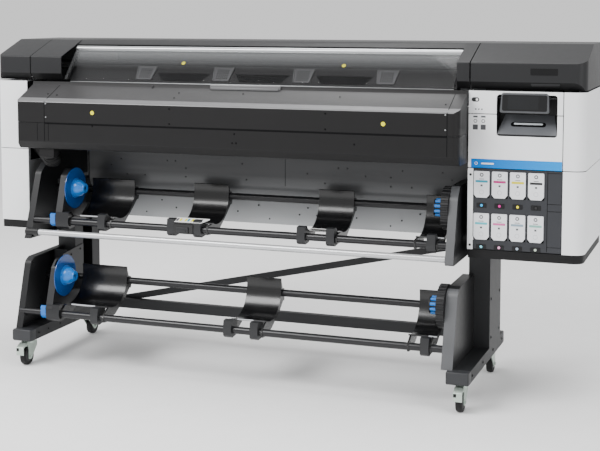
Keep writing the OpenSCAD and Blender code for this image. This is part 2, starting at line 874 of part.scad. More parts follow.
// Fixed right-hand guides, one in each station
module end_deflectors() {
  color("black") {
    deflector(640, 742, upper_axis, upper_front_bar, upper_rear_bar, [700]);
    deflector(640, 742, lower_axis, lower_front_bar, lower_rear_bar, [700]);
  }
}

// Left hub carrier: slanted arm, spindle, collar on the front bar and the end guide
module hub_arm(axis, front_bar, rear_bar, guide_x1, pts) {
  pocket_r = 74;
  boss_r = 22;
  color("dimgray") {
    difference() {
      union() {
        difference() {
          along_x(arm_x0, arm_x1) polygon(outline(pts));
          // round pocket around the spindle boss, open to the right
          difference() {
            rod_x(arm_x0 + 10, arm_x1 + 8, axis, pocket_r);
            rod_x(arm_x0 + 9, arm_x1 + 9, axis, boss_r);
            block([arm_x0, -500, 0], [arm_x1, axis.x - 46, 1000]);
          }
        }
        along_x(arm_x0 + 1, arm_x1 + 33) polygon(collar_points(front_bar));
        difference() {
          along_x(arm_x0, arm_x1)
            polygon([rear_bar + [20, 8], rear_bar + [20, -34], axis + [20, -150],
              front_bar + [20, -14], front_bar + [0, 10], axis + [-40, -60], axis + [60, -20]]);
          rod_x(arm_x0 - 1, arm_x1 + 1, axis, 60);
        }
      }
      rod_x(arm_x0 - 1, arm_x1 + 60, front_bar, bar_r + bar_clear);
      rod_x(arm_x0 - 1, arm_x1 + 60, rear_bar, bar_r + bar_clear);
    }
    rod_x(arm_x0 + 5, arm_x1 + 50, axis, spindle_r);
    deflector(guide_x0, guide_x1, axis, front_bar, rear_bar, [guide_x1 - 60]);
    // web that ties the arm to the end guide under the rear bar
    difference() {
      along_x(arm_x1 - 1, guide_x0 + 1)
        polygon([rear_bar + [6, -18], rear_bar + [-4, -40], around(axis, 140, -38),
          around(axis, 124, -38), around(axis, 124, -28), around(axis, 124, -18)]);
      rod_x(arm_x1 - 2, guide_x0 + 10, rear_bar, bar_r + bar_clear);
    }
  }
}

module upper_hub_arm() {
  hub_arm(upper_axis, upper_front_bar, upper_rear_bar, -690,
    [[-242, 640, 4], [-187, 815, 20], [-150, 842, 20], [-70, 830, 20], [-48, 753, 20],
      [-150, 620, 10]]);
}

module lower_hub_arm() {
  hub_arm(lower_axis, lower_front_bar, lower_rear_bar, -681,
    [[-334, 250, 4], [-280, 424, 20], [-245, 458, 20], [-170, 446, 20], [-148, 380, 20],
      [-250, 240, 10]]);
}

// Blue end disc with its stepped, dome-nosed hub, turning on the spindle
module hub_disc(axis) {
  face_x = arm_x1 + 7;
  color("dodgerblue") difference() {
    union() {
      rod_x(arm_x1 + 3, face_x, axis, disc_r);
      rod_x(face_x - 1, face_x + 3, axis, core_hub_r + 6);
      rod_x(face_x, face_x + 17, axis, core_hub_r);
      cone_x(face_x + 17, face_x + 29, axis, core_hub_r, 32);
      cone_x(face_x + 29, face_x + 42, axis, 32, 22);
      rod_x(face_x + 41, face_x + 49, axis, 21);
    }
    rod_x(arm_x1, arm_x1 + 60, axis, spindle_r + fit);
  }
}

module upper_hub_disc() { hub_disc(upper_axis); }
module lower_hub_disc() { hub_disc(lower_axis); }

// Cam lever that clamps the hub carrier to the front bar
module lock_lever(front_bar) {
  x0 = arm_x0 - 26;
  x1 = arm_x0 - 1;
  color("skyblue") difference() {
    union() {
      rod_x(x0, x1, front_bar, bar_r + 8);
      along_x(x0, x1)
        polygon([front_bar + [-23, 0], front_bar + [-24, 30], front_bar + [-16, 36],
          front_bar + [0, 22]]);
    }
    rod_x(x0 - 4, x1 + 1, front_bar, bar_r + bar_clear);
  }
}

module upper_lock_lever() { lock_lever(upper_front_bar); }
module lower_lock_lever() { lock_lever(lower_front_bar); }

// Right-hand drive wheel with grip notches, and a mandrel ringed by pads that grip the core
module drive_wheel(axis, seat_x) {
  wheel_x0 = seat_x - 32;
  wheel_x1 = seat_x - 1;
  mandrel_x0 = wheel_x0 - 40;
  notches = 28;
  pads = 9;
  pad_r = 7;
  pad_ring_r = 30;
  color("black") {
    difference() {
      rod_x(wheel_x0, wheel_x1, axis, drive_r);
      for (i = [0:notches - 1])
        rod_x(wheel_x0 - 1, wheel_x1 + 1, around(axis, drive_r + 1, i * 360 / notches), 5, $fn = 16);
      rod_x(wheel_x0 - 1, wheel_x0 + 12, axis, drive_r - 12);
    }
    rod_x(mandrel_x0, wheel_x0 + 13, axis, 28);
    rod_x(mandrel_x0, mandrel_x0 + 5, axis, 34);
    for (i = [0:pads - 1])
      rod_x(mandrel_x0 + 6, wheel_x0 + 13, around(axis, pad_ring_r, i * 360 / pads), pad_r, $fn = 24);
    rod_x(seat_x - 2, seat_x + 26, axis, spindle_r);
  }
}

module upper_drive_wheel() { drive_wheel(upper_axis, upper_seat_x); }
module lower_drive_wheel() { drive_wheel(lower_axis, lower_seat_x); }

// ---------- Casters ----------

// Swivel fork; out is the direction the wheel trails in along Y
module fork(x, y, out, ears) {
  inner = caster_w / 2 + fork_gap - fork_t;
  outer = inner + fork_t;
  axle_y = y + out * caster_trail;
  race_z = 94;
  crown_z = 86;
  color("lightgray") {
    translate([x, y, race_z]) cylinder(h = foot_z - race_z - 0.5, r = 25);
    translate([x, y, foot_z - 1]) cylinder(h = 16, r = stem_r);
    for (side_x = [x - outer, x + inner])
      along_x(side_x, side_x + fork_t)
        polygon(outline([[axle_y + out * 11, 24, 9], [axle_y - out * 11, 24, 9],
          [y - out * 36, 76, 12], [y - out * 36, race_z + 2], [y + out * 30, race_z + 2]]));
    block([x - outer, y - 26, crown_z], [x + outer, y + 26, race_z + 1]);
    rod_x(x - outer - 4, x + outer + 4, [axle_y, caster_r], axle_r);
    if (ears) {
      for (ear_x = [x - 16, x + 13])
        along_x(ear_x, ear_x + 3)
          polygon(outline([pedal_ear(-6), [y - 18, crown_z], [y - 18, 106], pedal_ear(6)]));
      rod_x(x - 16, x + 16, pedal_at, pedal_pin_r);
    }
  }
}

// Rounded corner of a pedal ear, dz above the pin
function pedal_ear(dz) = [pedal_at.x - 6, pedal_at.y + dz, 4];

module front_left_fork() { fork(caster_xl, swivel_front, -1, true); }
module front_right_fork() { fork(caster_xr, swivel_front, -1, true); }
module rear_left_fork() { fork(caster_xl, swivel_rear, 1, false); }
module rear_right_fork() { fork(caster_xr, swivel_rear, 1, false); }

// Wheel with a rounded tread and a bore for the axle
module wheel(x, y, out) {
  half = caster_w / 2 - 0.6;
  bore = axle_r + fit;
  hub = axle_r + 6;
  half_profile = [[bore, -half], [hub, -half], [hub + 2, -half + 3], [24, -half + 3],
    [27, -half, 1], [caster_r, -half, 5]];
  color("black") translate([x, y + out * caster_trail, caster_r]) rotate([0, 90, 0])
    rotate_extrude() polygon(outline(concat(half_profile,
      [for (i = [len(half_profile) - 1:-1:0])
        [for (k = [0:len(half_profile[i]) - 1]) k == 1 ? -half_profile[i][k] : half_profile[i][k]]])));
}

module front_left_wheel() { wheel(caster_xl, swivel_front, -1); }
module front_right_wheel() { wheel(caster_xr, swivel_front, -1); }
module rear_left_wheel() { wheel(caster_xl, swivel_rear, 1); }
module rear_right_wheel() { wheel(caster_xr, swivel_rear, 1); }

// Brake pedal folded down over the front of the wheel, hinged between the fork's ears
module pedal(x) {
  half = 18;
  color("lightgray") difference() {
    union() {
      rod_x(x - 12, x + 12, pedal_at, 6);
      along_x(x - 12, x + 12)
        polygon([pedal_at + [0, 5], pedal_at + [-14, 3], pedal_at + [-14, -5], pedal_at + [0, -6]]);
      along_x(x - half, x + half)
        polygon(outline([pedal_at + [-11, 4], [front_pedal_y, 86, 5], [front_pedal_y, 52, 1],
          [front_pedal_y + 3, 52, 1], [front_pedal_y + 3, 83, 4], pedal_at + [-11, -5]]));
    }
    rod_x(x - 20, x + 20, pedal_at, pedal_pin_r + fit);
  }
}

module front_left_pedal() { pedal(caster_xl); }
module front_right_pedal() { pedal(caster_xr); }

left_leg();
right_leg();
leg_braces();
chassis_frame();
base_trays();
left_side_panels();
right_side_panels();
back_panel();
left_top_covers();
rear_top_covers();
module_upper_shell();
module_lower_shell();
exhaust_hose();
media_plate();
fascia_upper();
fascia_lower();
panel_recess();
cartridge_rack();
upper_left_cheek();
upper_right_cheek();
lower_left_cheek();
lower_right_cheek();
roll_bars();
diverter_bar();
end_deflectors();
feed_roller();
front_left_fork();
front_right_fork();
rear_left_fork();
rear_right_fork();
front_left_wheel();
front_right_wheel();
rear_left_wheel();
rear_right_wheel();
front_left_pedal();
front_right_pedal();
upper_hub_arm();
lower_hub_arm();
upper_hub_disc();
lower_hub_disc();
upper_lock_lever();
lower_lock_lever();
upper_drive_wheel();
lower_drive_wheel();
upper_deflector_a();
upper_deflector_b();
lower_deflector();
window_lid();
right_top_cover();
display();
power_button();
print_carriage();
cartridge_1();
cartridge_2();
cartridge_3();
cartridge_4();
cartridge_5();
cartridge_6();
cartridge_7();
cartridge_8();
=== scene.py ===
import bmesh
import bpy
import json
import math
from mathutils import Matrix, Vector


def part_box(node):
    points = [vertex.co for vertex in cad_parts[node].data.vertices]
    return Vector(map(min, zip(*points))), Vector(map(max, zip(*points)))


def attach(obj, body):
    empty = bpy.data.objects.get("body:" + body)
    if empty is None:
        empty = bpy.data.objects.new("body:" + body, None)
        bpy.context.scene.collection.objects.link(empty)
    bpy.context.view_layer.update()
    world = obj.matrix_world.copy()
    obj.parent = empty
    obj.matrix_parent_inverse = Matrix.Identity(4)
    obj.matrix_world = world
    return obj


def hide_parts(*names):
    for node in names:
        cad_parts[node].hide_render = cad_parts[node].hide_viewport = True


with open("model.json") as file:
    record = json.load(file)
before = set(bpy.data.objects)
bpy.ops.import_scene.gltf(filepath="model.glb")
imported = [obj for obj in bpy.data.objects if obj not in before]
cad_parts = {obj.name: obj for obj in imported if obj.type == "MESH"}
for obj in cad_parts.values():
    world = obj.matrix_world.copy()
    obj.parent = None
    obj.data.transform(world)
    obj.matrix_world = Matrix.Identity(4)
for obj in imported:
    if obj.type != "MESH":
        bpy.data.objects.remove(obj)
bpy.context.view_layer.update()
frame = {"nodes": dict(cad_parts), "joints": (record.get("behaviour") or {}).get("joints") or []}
NODES = frame["nodes"]
MM = 0.001

# ---------- camera ----------

CAMERA_AT = (1.908, -5.005, 1.533)
CAMERA_YAW = math.radians(19.99)
CAMERA_PITCH = math.radians(5.10)
CAMERA_LENS = 76.14
CAMERA_SHIFT = -0.17


def make_camera():
    """Camera at the angle and distance of the photo."""
    data = bpy.data.cameras.new("camera")
    data.lens = CAMERA_LENS
    data.sensor_width = 36.0
    data.shift_y = CAMERA_SHIFT
    camera = bpy.data.objects.new("camera", data)
    camera.location = CAMERA_AT
    camera.rotation_euler = (math.pi / 2 - CAMERA_PITCH, 0.0, CAMERA_YAW)
    bpy.context.scene.collection.objects.link(camera)
    bpy.context.scene.camera = camera


make_camera()

# ---------- materials ----------

MOTTLE_SCALE = 9
GLOSS_SCALE = 37
GRAIN_HEIGHT = 0.6 * MM
COAT_ROUGHNESS = 0.12


def node_of(tree, kind, **values):
    """A new shader node with its inputs or settings given by name."""
    node = tree.nodes.new(kind)
    for key, value in values.items():
        if key in node.inputs:
            node.inputs[key].default_value = value
        else:
            setattr(node, key, value)
    return node


def noise(tree, coords, scale, detail=3.0, stretch=(1, 1, 1)):
    """Noise over the object's own coordinates, optionally stretched."""
    mapping = node_of(tree, "ShaderNodeMapping")
    mapping.inputs["Scale"].default_value = stretch
    tree.links.new(coords.outputs["Object"], mapping.inputs["Vector"])
    texture = node_of(tree, "ShaderNodeTexNoise", Scale=scale, Detail=detail)
    tree.links.new(mapping.outputs["Vector"], texture.inputs["Vector"])
    return texture.outputs["Fac"]


def spread(tree, value, low, high):
    """Maps the middle of a noise to run from low to high."""
    ranged = node_of(tree, "ShaderNodeMapRange")
    ranged.inputs["From Min"].default_value = 0.3
    ranged.inputs["From Max"].default_value = 0.7
    ranged.inputs["To Min"].default_value = low
    ranged.inputs["To Max"].default_value = high
    tree.links.new(value, ranged.inputs["Value"])
    return ranged.outputs["Result"]


def shade(color, factor):
    """A colour made lighter or darker, with alpha."""
    return tuple(min(1.0, c * factor) for c in color) + (1.0,)


def surface(name, color, rough=0.5, grain=700, depth=0.12, vary=0.06, metal=0.0, coat=0.0,
            stretch=(1, 1, 1), alpha=1.0, rough_vary=0.06, specular=0.5):
    """A material with mottled colour, uneven gloss and a fine surface grain."""
    made = bpy.data.materials.new(name)
    made.use_nodes = True
    tree = made.node_tree
    shader = tree.nodes["Principled BSDF"]
    shader.inputs["Metallic"].default_value = metal
    shader.inputs["Coat Weight"].default_value = coat
    shader.inputs["Coat Roughness"].default_value = COAT_ROUGHNESS
    shader.inputs["Alpha"].default_value = alpha
    shader.inputs["Specular IOR Level"].default_value = specular
    coords = node_of(tree, "ShaderNodeTexCoord")
    mix = node_of(tree, "ShaderNodeMix", data_type="RGBA")
    mix.inputs[6].default_value = shade(color, 1 - vary)
    mix.inputs[7].default_value = shade(color, 1 + vary)
    tree.links.new(spread(tree, noise(tree, coords, MOTTLE_SCALE, 4), 0, 1), mix.inputs["Factor"])
    tree.links.new(mix.outputs[2], shader.inputs["Base Color"])
    low, high = max(0.02, rough - rough_vary), rough + rough_vary
    gloss = spread(tree, noise(tree, coords, GLOSS_SCALE, 3, stretch), low, high)
    tree.links.new(gloss, shader.inputs["Roughness"])
    bump = node_of(tree, "ShaderNodeBump", Strength=depth, Distance=GRAIN_HEIGHT)
    tree.links.new(noise(tree, coords, grain, 2, stretch), bump.inputs["Height"])
    tree.links.new(bump.outputs["Normal"], shader.inputs["Normal"])
    return made


# Colour, roughness, grain scale and grain depth, then what else surface() is told
FINISHES = {
    "frame": ((0.014, 0.0145, 0.016), 0.50, 900, 0.05, dict(vary=0.012, specular=0.35, rough_vary=0.015)),
    "frame_cap": ((0.024, 0.025, 0.028), 0.42, 700, 0.15, dict(specular=0.4)),
    "panel": ((0.86, 0.87, 0.885), 0.42, 600, 0.06, dict(vary=0.012)),
    "panel_grey": ((0.20, 0.205, 0.21), 0.5, 600, 0.06, {}),
    "cover": ((0.0145, 0.0148, 0.016), 0.42, 520, 0.15, dict(vary=0.01, specular=0.28, rough_vary=0.015)),
    # near-black trim and plates, also used as painted shade under the cover feet and in the holes of the rail
    # pads
    "dark_trim_and_shade": ((0.004, 0.004, 0.0045), 0.5, 520, 0.15, dict(specular=0.2)),
    "module": ((0.0125, 0.0122, 0.0126), 0.42, 480, 0.12,
               dict(vary=0.02, specular=0.16, rough_vary=0.02)),
    "module_low": ((0.0118, 0.0116, 0.0120), 0.42, 480, 0.12, dict(vary=0.02, specular=0.16)),
    "black": ((0.005, 0.005, 0.0055), 0.55, 600, 0.12, dict(specular=0.25)),
    "recess": ((0.006, 0.0062, 0.007), 0.42, 600, 0.1, dict(specular=0.3)),
    "shelf": ((0.115, 0.12, 0.13), 0.36, 600, 0.08, {}),
    "hose": ((0.0030, 0.0030, 0.0032), 0.50, 400, 0.08, dict(specular=0.18)),
    "rear": ((0.24, 0.25, 0.26), 0.45, 900, 0.12, dict(metal=0.1)),
    "sheet": ((0.30, 0.31, 0.32), 0.38, 260, 0.05, dict(vary=0.02, metal=0.2, stretch=(0.05, 1, 1))),
    "guide": ((0.0045, 0.0045, 0.005), 0.24, 200, 0.012, dict(specular=0.45, coat=0.12, rough_vary=0.02)),
    "hook": ((0.016, 0.0165, 0.018), 0.42, 600, 0.08, dict(specular=0.4)),
    "arm": ((0.013, 0.0135, 0.015), 0.40, 600, 0.1, dict(vary=0.015, specular=0.35, rough_vary=0.015)),
    "arm_edge": ((0.021, 0.0215, 0.023), 0.42, 600, 0.08, dict(specular=0.35)),
    "cheek_edge": ((0.010, 0.0102, 0.011), 0.42, 600, 0.08, dict(specular=0.35)),
    "cheek_strip": ((0.085, 0.087, 0.092), 0.40, 300, 0.02, dict(rough_vary=0.02)),
    "gloss_dark": ((0.012, 0.0122, 0.013), 0.34, 300, 0.01,
                   dict(vary=0.03, specular=0.35, rough_vary=0.02)),
    "bar": ((0.012, 0.012, 0.0135), 0.30, 300, 0.05, dict(metal=0.2, stretch=(0.05, 1, 1))),
    "white_bar": ((0.56, 0.57, 0.58), 0.30, 300, 0.04, dict(vary=0.02, metal=0.45, stretch=(0.05, 1, 1))),
    "steel": ((0.55, 0.55, 0.56), 0.28, 500, 0.1, dict(metal=1.0, stretch=(0.04, 1, 1))),
    "zinc": ((0.50, 0.58, 0.52), 0.36, 260, 0.1, dict(vary=0.10, metal=0.75)),
    "rubber": ((0.008, 0.008, 0.0085), 0.60, 500, 0.2, dict(specular=0.3)),
    "wheel_core": ((0.020, 0.0205, 0.022), 0.45, 500, 0.12, {}),
    "blue": ((0.010, 0.17, 0.56), 0.30, 300, 0.02, dict(vary=0.04, coat=0.2)),
    "blue_clear": ((0.002, 0.066, 0.27), 0.22, 200, 0.012, dict(vary=0.04, alpha=0.90, coat=0.2)),
    "lever": ((0.004, 0.14, 0.50), 0.34, 300, 0.02, dict(vary=0.04)),
    "knurl": ((0.008, 0.008, 0.009), 0.42, 500, 0.12, dict(specular=0.35)),
    "pane": ((0.060, 0.062, 0.066), 0.05, 30, 0.004, dict(vary=0.02, alpha=0.14, rough_vary=0.01)),
    "bright": ((0.50, 0.51, 0.52), 0.30, 400, 0.06, dict(metal=0.85, stretch=(0.03, 1, 1))),
    "display": ((0.060, 0.062, 0.067), 0.36, 600, 0.06, {}),
    "glass": ((0.003, 0.003, 0.0036), 0.08, 60, 0.008,
              dict(vary=0.1, coat=0.3, specular=0.3, rough_vary=0.02)),
    "screen": ((0.0085, 0.009, 0.010), 0.10, 60, 0.008,
               dict(vary=0.1, coat=0.2, specular=0.3, rough_vary=0.02)),
    "button": ((0.010, 0.010, 0.011), 0.32, 500, 0.04, {}),
    "carriage": ((0.022, 0.022, 0.024), 0.45, 500, 0.1, {}),
    "rack": ((0.026, 0.0275, 0.032), 0.44, 520, 0.12, dict(specular=0.35)),
    "cartridge": ((0.78, 0.79, 0.82), 0.36, 500, 0.05, dict(vary=0.015)),
    "paper": ((0.84, 0.84, 0.83), 0.55, 300, 0.05, dict(vary=0.02)),
    "seam": ((0.0025, 0.0025, 0.003), 0.7, 300, 0.1, dict(specular=0.1)),
    "screw": ((0.010, 0.010, 0.011), 0.34, 900, 0.1, dict(metal=0.5)),
    "yellow": ((0.80, 0.74, 0.02), 0.50, 400, 0.05, dict(specular=0.1)),
    "print": ((0.060, 0.062, 0.068), 0.5, 300, 0.05, {}),
    "lamp": ((0.70, 0.74, 0.78), 0.3, 300, 0.05, {}),
    # lighter copy of the module's plastic: painted light on its upward faces
    "module_lit_top": ((0.034, 0.0335, 0.0345), 0.38, 480, 0.10,
                   dict(vary=0.01, specular=0.35, rough_vary=0.015)),
    # light grey painted as the highlight along the module's front top edge; the lift tab uses it too
    "module_edge_highlight": ((0.13, 0.13, 0.134), 0.34, 480, 0.06, {}),
    "inner": ((0.075, 0.076, 0.080), 0.45, 500, 0.06, {}),
    "inner_rail": ((0.012, 0.0122, 0.013), 0.42, 500, 0.06, dict(specular=0.3)),
    "lip": ((0.42, 0.43, 0.45), 0.4, 300, 0.05, {}),
    "band": ((0.0, 0.16, 0.62), 0.40, 400, 0.03, dict(specular=0.06)),
}
M = {name: surface(name, *given, **more) for name, (*given, more) in FINISHES.items()}


def measured(tree, axis, start, end, low, high):
    """A value that runs from low to high between two places along an axis of the part."""
    coords = node_of(tree, "ShaderNodeTexCoord")
    split = node_of(tree, "ShaderNodeSeparateXYZ")
    tree.links.new(coords.outputs["Object"], split.inputs[0])
    along = node_of(tree, "ShaderNodeMapRange")
    for key, value in (("From Min", start), ("From Max", end), ("To Min", low), ("To Max", high)):
        along.inputs[key].default_value = value
    tree.links.new(split.outputs[axis], along.inputs["Value"])
    return along.outputs["Result"]


def blend_along(material, axis, start, end, first, last):
    """Runs a material's colour from first to last between two places along an axis."""
    tree = material.node_tree
    shader = tree.nodes["Principled BSDF"]
    ramp = node_of(tree, "ShaderNodeValToRGB")
    ramp.color_ramp.elements[0].color = first + (1.0,)
    ramp.color_ramp.elements[1].color = last + (1.0,)
    tree.links.new(measured(tree, axis, start, end, 0.0, 1.0), ramp.inputs["Fac"])
    tree.links.new(ramp.outputs["Color"], shader.inputs["Base Color"])


def fade_along(material, axis, start, end, first, last):
    """Runs a material's alpha from first to last between two places along an axis."""
    tree = material.node_tree
    shader = tree.nodes["Principled BSDF"]
    tree.links.new(measured(tree, axis, start, end, first, last), shader.inputs["Alpha"])


blend_along(M["band"], "X", 0.85, 1.21, (0.0, 0.15, 0.54), (0.0, 0.26, 0.70))
# Painted shade: the media plate runs from pale at its foot to dark at its top, under the module.
blend_along(M["sheet"], "Z", 0.61, 0.82, (0.40, 0.41, 0.42), (0.030, 0.031, 0.033))
# Painted reflection: the window pane's tint grows lighter and less clear towards its top.
blend_along(M["pane"], "Z", 1.28, 1.35, (0.012, 0.012, 0.013), (0.20, 0.205, 0.21))
fade_along(M["pane"], "Z", 1.27, 1.34, 0.14, 0.40)

INK_COLORS = [
    (0.0, 0.27, 0.40), (0.42, 0.0, 0.15), (0.66, 0.58, 0.01), (0.005, 0.005, 0.006),
    (0.08, 0.44, 0.52), (0.60, 0.12, 0.32), (0.24, 0.33, 0.40), (0.22, 0.46, 0.40),
]
LAMP_COLORS = [
    (0.0, 0.42, 0.85), (0.72, 0.0, 0.30), (0.90, 0.78, 0.0), (0.012, 0.012, 0.013),
    (0.25, 0.75, 0.90), (0.90, 0.40, 0.66), (0.42, 0.50, 0.60), (0.50, 0.58, 0.48),
]
INK = [surface(f"ink_{i}", c, 0.4, 400, 0.03, vary=0.03) for i, c in enumerate(INK_COLORS)]
LAMPS = [surface(f"lamp_{i}", c, 0.3, 400, 0.03, vary=0.03) for i, c in enumerate(LAMP_COLORS)]

# ---------- finish of the carried-over nodes ----------

FLAT_ANGLE = math.radians(0.6)
EDGE_ANGLE = math.radians(32)
PIERCED = ["cartridge_rack", "back_panel"]


def soften(node, width, pierced=False):
    """Rounds a node's sharp edges and smooths its curved faces; a pierced sheet keeps its flat faces."""
    data = node.data
    if data.attributes.get("custom_normal"):
        data.attributes.remove(data.attributes["custom_normal"])
    for polygon in data.polygons:
        polygon.use_smooth = not pierced
    if pierced:
        return
    weld = node.modifiers.new("weld", "WELD")
    weld.merge_threshold = 0.02 * MM
    flat = node.modifiers.new("flat", "DECIMATE")
    flat.decimate_type = "DISSOLVE"
    flat.angle_limit = FLAT_ANGLE
    bevel = node.modifiers.new("bevel", "BEVEL")
    bevel.width = width
    bevel.segments = 2
    bevel.limit_method = "ANGLE"
    bevel.angle_limit = EDGE_ANGLE
    bevel.harden_normals = True


def dress(names, material, width=0.0012):
    """Gives nodes a material and rounds their edges by a width."""
    for name in names:
        node = NODES[name]
        node.data.materials.clear()
        node.data.materials.append(M[material])
        soften(node, width, name in PIERCED)


def tint(name, material, chosen):
    """Gives another material to the faces of a node that chosen(centre, normal) picks."""
    data = NODES[name].data
    data.materials.append(M[material])
    index = len(data.materials) - 1
    for polygon in data.polygons:
        if chosen(polygon.center, polygon.normal):
            polygon.material_index = index


CASTERS = ["front_left", "front_right", "rear_left", "rear_right"]
STATIONS = ["upper", "lower"]
dress(["left_leg", "right_leg", "leg_braces", "chassis_frame"], "frame", 0.0015)
dress(["base_trays"], "black", 0.002)
dress(["left_side_panels", "right_side_panels", "fascia_upper", "fascia_lower"], "panel", 0.0015)
dress(["back_panel"], "rear", 0.0005)
dress(["left_top_covers", "rear_top_covers", "right_top_cover"], "cover", 0.0015)
dress(["module_upper_shell"], "module", 0.002)
dress(["module_lower_shell"], "module_low", 0.002)
dress(["media_plate"], "sheet", 0.0004)
dress(["panel_recess"], "recess", 0.0008)
dress(["cartridge_rack"], "rack", 0.0012)
dress(["upper_left_cheek", "lower_left_cheek"], "arm", 0.001)
dress(["upper_right_cheek", "lower_right_cheek"], "gloss_dark", 0.003)
dress(["roll_bars"], "bar", 0.001)
dress(["diverter_bar"], "white_bar", 0.002)
dress(["feed_roller"], "steel", 0.001)
dress([c + "_fork" for c in CASTERS], "zinc", 0.0008)
dress([c + "_wheel" for c in CASTERS], "rubber", 0.0006)
dress(["front_left_pedal", "front_right_pedal"], "zinc", 0.0006)
dress([s + "_hub_arm" for s in STATIONS], "arm", 0.001)
dress([s + "_hub_disc" for s in STATIONS], "blue", 0.0008)
dress([s + "_lock_lever" for s in STATIONS], "lever", 0.0015)
dress([s + "_drive_wheel" for s in STATIONS], "knurl", 0.0012)
dress(["end_deflectors", "upper_deflector_a", "upper_deflector_b", "lower_deflector"], "guide", 0.0012)
dress(["window_lid"], "pane", 0.0006)
dress(["display"], "display", 0.0012)
dress(["power_button"], "button", 0.0006)
dress(["print_carriage"], "carriage", 0.0015)
dress([f"cartridge_{i}" for i in range(1, 9)], "cartridge", 0.0012)

ROLL_AXIS = {"upper": Vector((0, -0.128, 0.753)), "lower": Vector((0, -0.228, 0.382))}
FRONT_BAR = {"upper": Vector((0, -0.218, 0.618)), "lower": Vector((0, -0.308, 0.230))}


def off_axis(point, axis):
    """Distance of a point from an axis that runs along X."""
    return math.hypot(point.y - axis.y, point.z - axis.z)


HOOKS = {
    "upper": {"upper_deflector_a": [-0.420, -0.300], "upper_deflector_b": [0.160, 0.285],
              "end_deflectors": [0.700], "upper_hub_arm": [-0.750]},
    "lower": {"lower_deflector": [-0.126, -0.010], "end_deflectors": [0.700], "lower_hub_arm": [-0.741]},
}
WINDOW_SIDE = 0.0145
WINDOW_RAIL_Z = 1.352
COVER_FOOT_Z = 1.262
MODULE_FOLD_Y = -0.2625
HOSE_MOUTH_Z = 0.92
HOOK_WIDTH = 0.0351
HOOK_RADIUS = 0.0505
GUIDE_RADIUS = 0.1235


def tint_boxes():
    """Window frame and rail, painted shade under the cover feet, inner wall of the left box, painted light on
    the module's top and a painted highlight at its fold, rail and shelf.
    """
    lo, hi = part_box("window_lid")
    tint("window_lid", "dark_trim_and_shade", lambda c, n: c.x < lo.x + WINDOW_SIDE or c.x > hi.x - WINDOW_SIDE)
    tint("window_lid", "bright", lambda c, n: c.z > WINDOW_RAIL_Z)
    for name in ["left_top_covers", "rear_top_covers", "right_top_cover"]:
        # Painted shade: the downward faces at the covers' feet take the near-black finish.
        tint(name, "dark_trim_and_shade", lambda c, n: n.z < -0.2 and c.z < COVER_FOOT_Z)
    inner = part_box("left_side_panels")[1].x - 0.002
    tint("left_side_panels", "panel_grey", lambda c, n: n.x > 0.7 and c.x > inner and c.z < HOSE_MOUTH_Z)
    tint("left_side_panels", "black", lambda c, n: n.x > 0.7 and c.x > inner and c.z > HOSE_MOUTH_Z)
    # Painted light: the module's upward faces behind its fold take a lighter copy of its plastic.
    tint("module_upper_shell", "module_lit_top", lambda c, n: c.y > MODULE_FOLD_Y and n.z > 0.7)
    # Painted highlight: the chamfer between the module's front and its sloping top is tinted light grey.
    tint("module_upper_shell", "module_edge_highlight", lambda c, n: c.y < MODULE_FOLD_Y and n.z > 0.3 and c.z > 1.13)
    tint("chassis_frame", "inner_rail", lambda c, n: -0.12 < c.y < 0.0 and 1.20 < c.z < 1.31 and n.z > 0.4)
    tint("panel_recess", "shelf", lambda c, n: n.y < -0.6 and n.z > 0.6 and c.z > 1.055)


def tint_station(station):
    """Disc rim, drive pads, hub arm, cheek edges and hooks of one roll station."""
    axis, bar = ROLL_AXIS[station], FRONT_BAR[station]
    disc, drive = (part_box(station + part)[0].x for part in ("_hub_disc", "_drive_wheel"))
    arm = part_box(station + "_hub_arm")[0].x
    tint(station + "_hub_disc", "blue_clear", lambda c, n: c.x < disc + 0.0045 and off_axis(c, axis) > 0.0435)
    tint(station + "_drive_wheel", "blue",
         lambda c, n: drive + 0.0052 < c.x < drive + 0.0399 and off_axis(c, axis) > 0.0283)
    tint(station + "_hub_arm", "arm_edge",
         lambda c, n: c.x < arm + 0.0325 and n.y < -0.4 and abs(n.x) < 0.3 and off_axis(c, axis) > 0.055
         and c.z > bar.z + 0.03)
    tint(station + "_hub_arm", "guide", lambda c, n: c.x > arm + 0.0571)
    tint(station + "_hub_arm", "knurl", lambda c, n: off_axis(c, axis) < 0.0101)
    tint(station + "_left_cheek", "cheek_edge",
         lambda c, n: n.y < -0.3 and abs(n.x) < 0.3 and c.y < axis.y - 0.02)
    tint(station + "_right_cheek", "cheek_strip", lambda c, n: n.y < -0.3 and abs(n.x) < 0.3)
    for name, hooks in HOOKS[station].items():
        tint(name, "hook", lambda c, n: any(x - 1e-4 <= c.x <= x + HOOK_WIDTH for x in hooks)
             and off_axis(c, bar) < HOOK_RADIUS and off_axis(c, axis) > GUIDE_RADIUS)


tint_boxes()
for roll_station in STATIONS:
    tint_station(roll_station)

# ---------- mesh helpers ----------


def piece(name, bm, material, body, smooth=True):
    """Turns a bmesh into a shown piece that rides on a body."""
    data = bpy.data.meshes.new(name)
    bmesh.ops.recalc_face_normals(bm, faces=bm.faces)
    bm.to_mesh(data)
    bm.free()
    for polygon in data.polygons:
        polygon.use_smooth = smooth
    made = bpy.data.objects.new(name, data)
    bpy.context.scene.collection.objects.link(made)
    for m in material if isinstance(material, list) else [material]:
        data.materials.append(m)
    data.set_sharp_from_angle(angle=math.radians(35))
    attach(made, body)
    return made


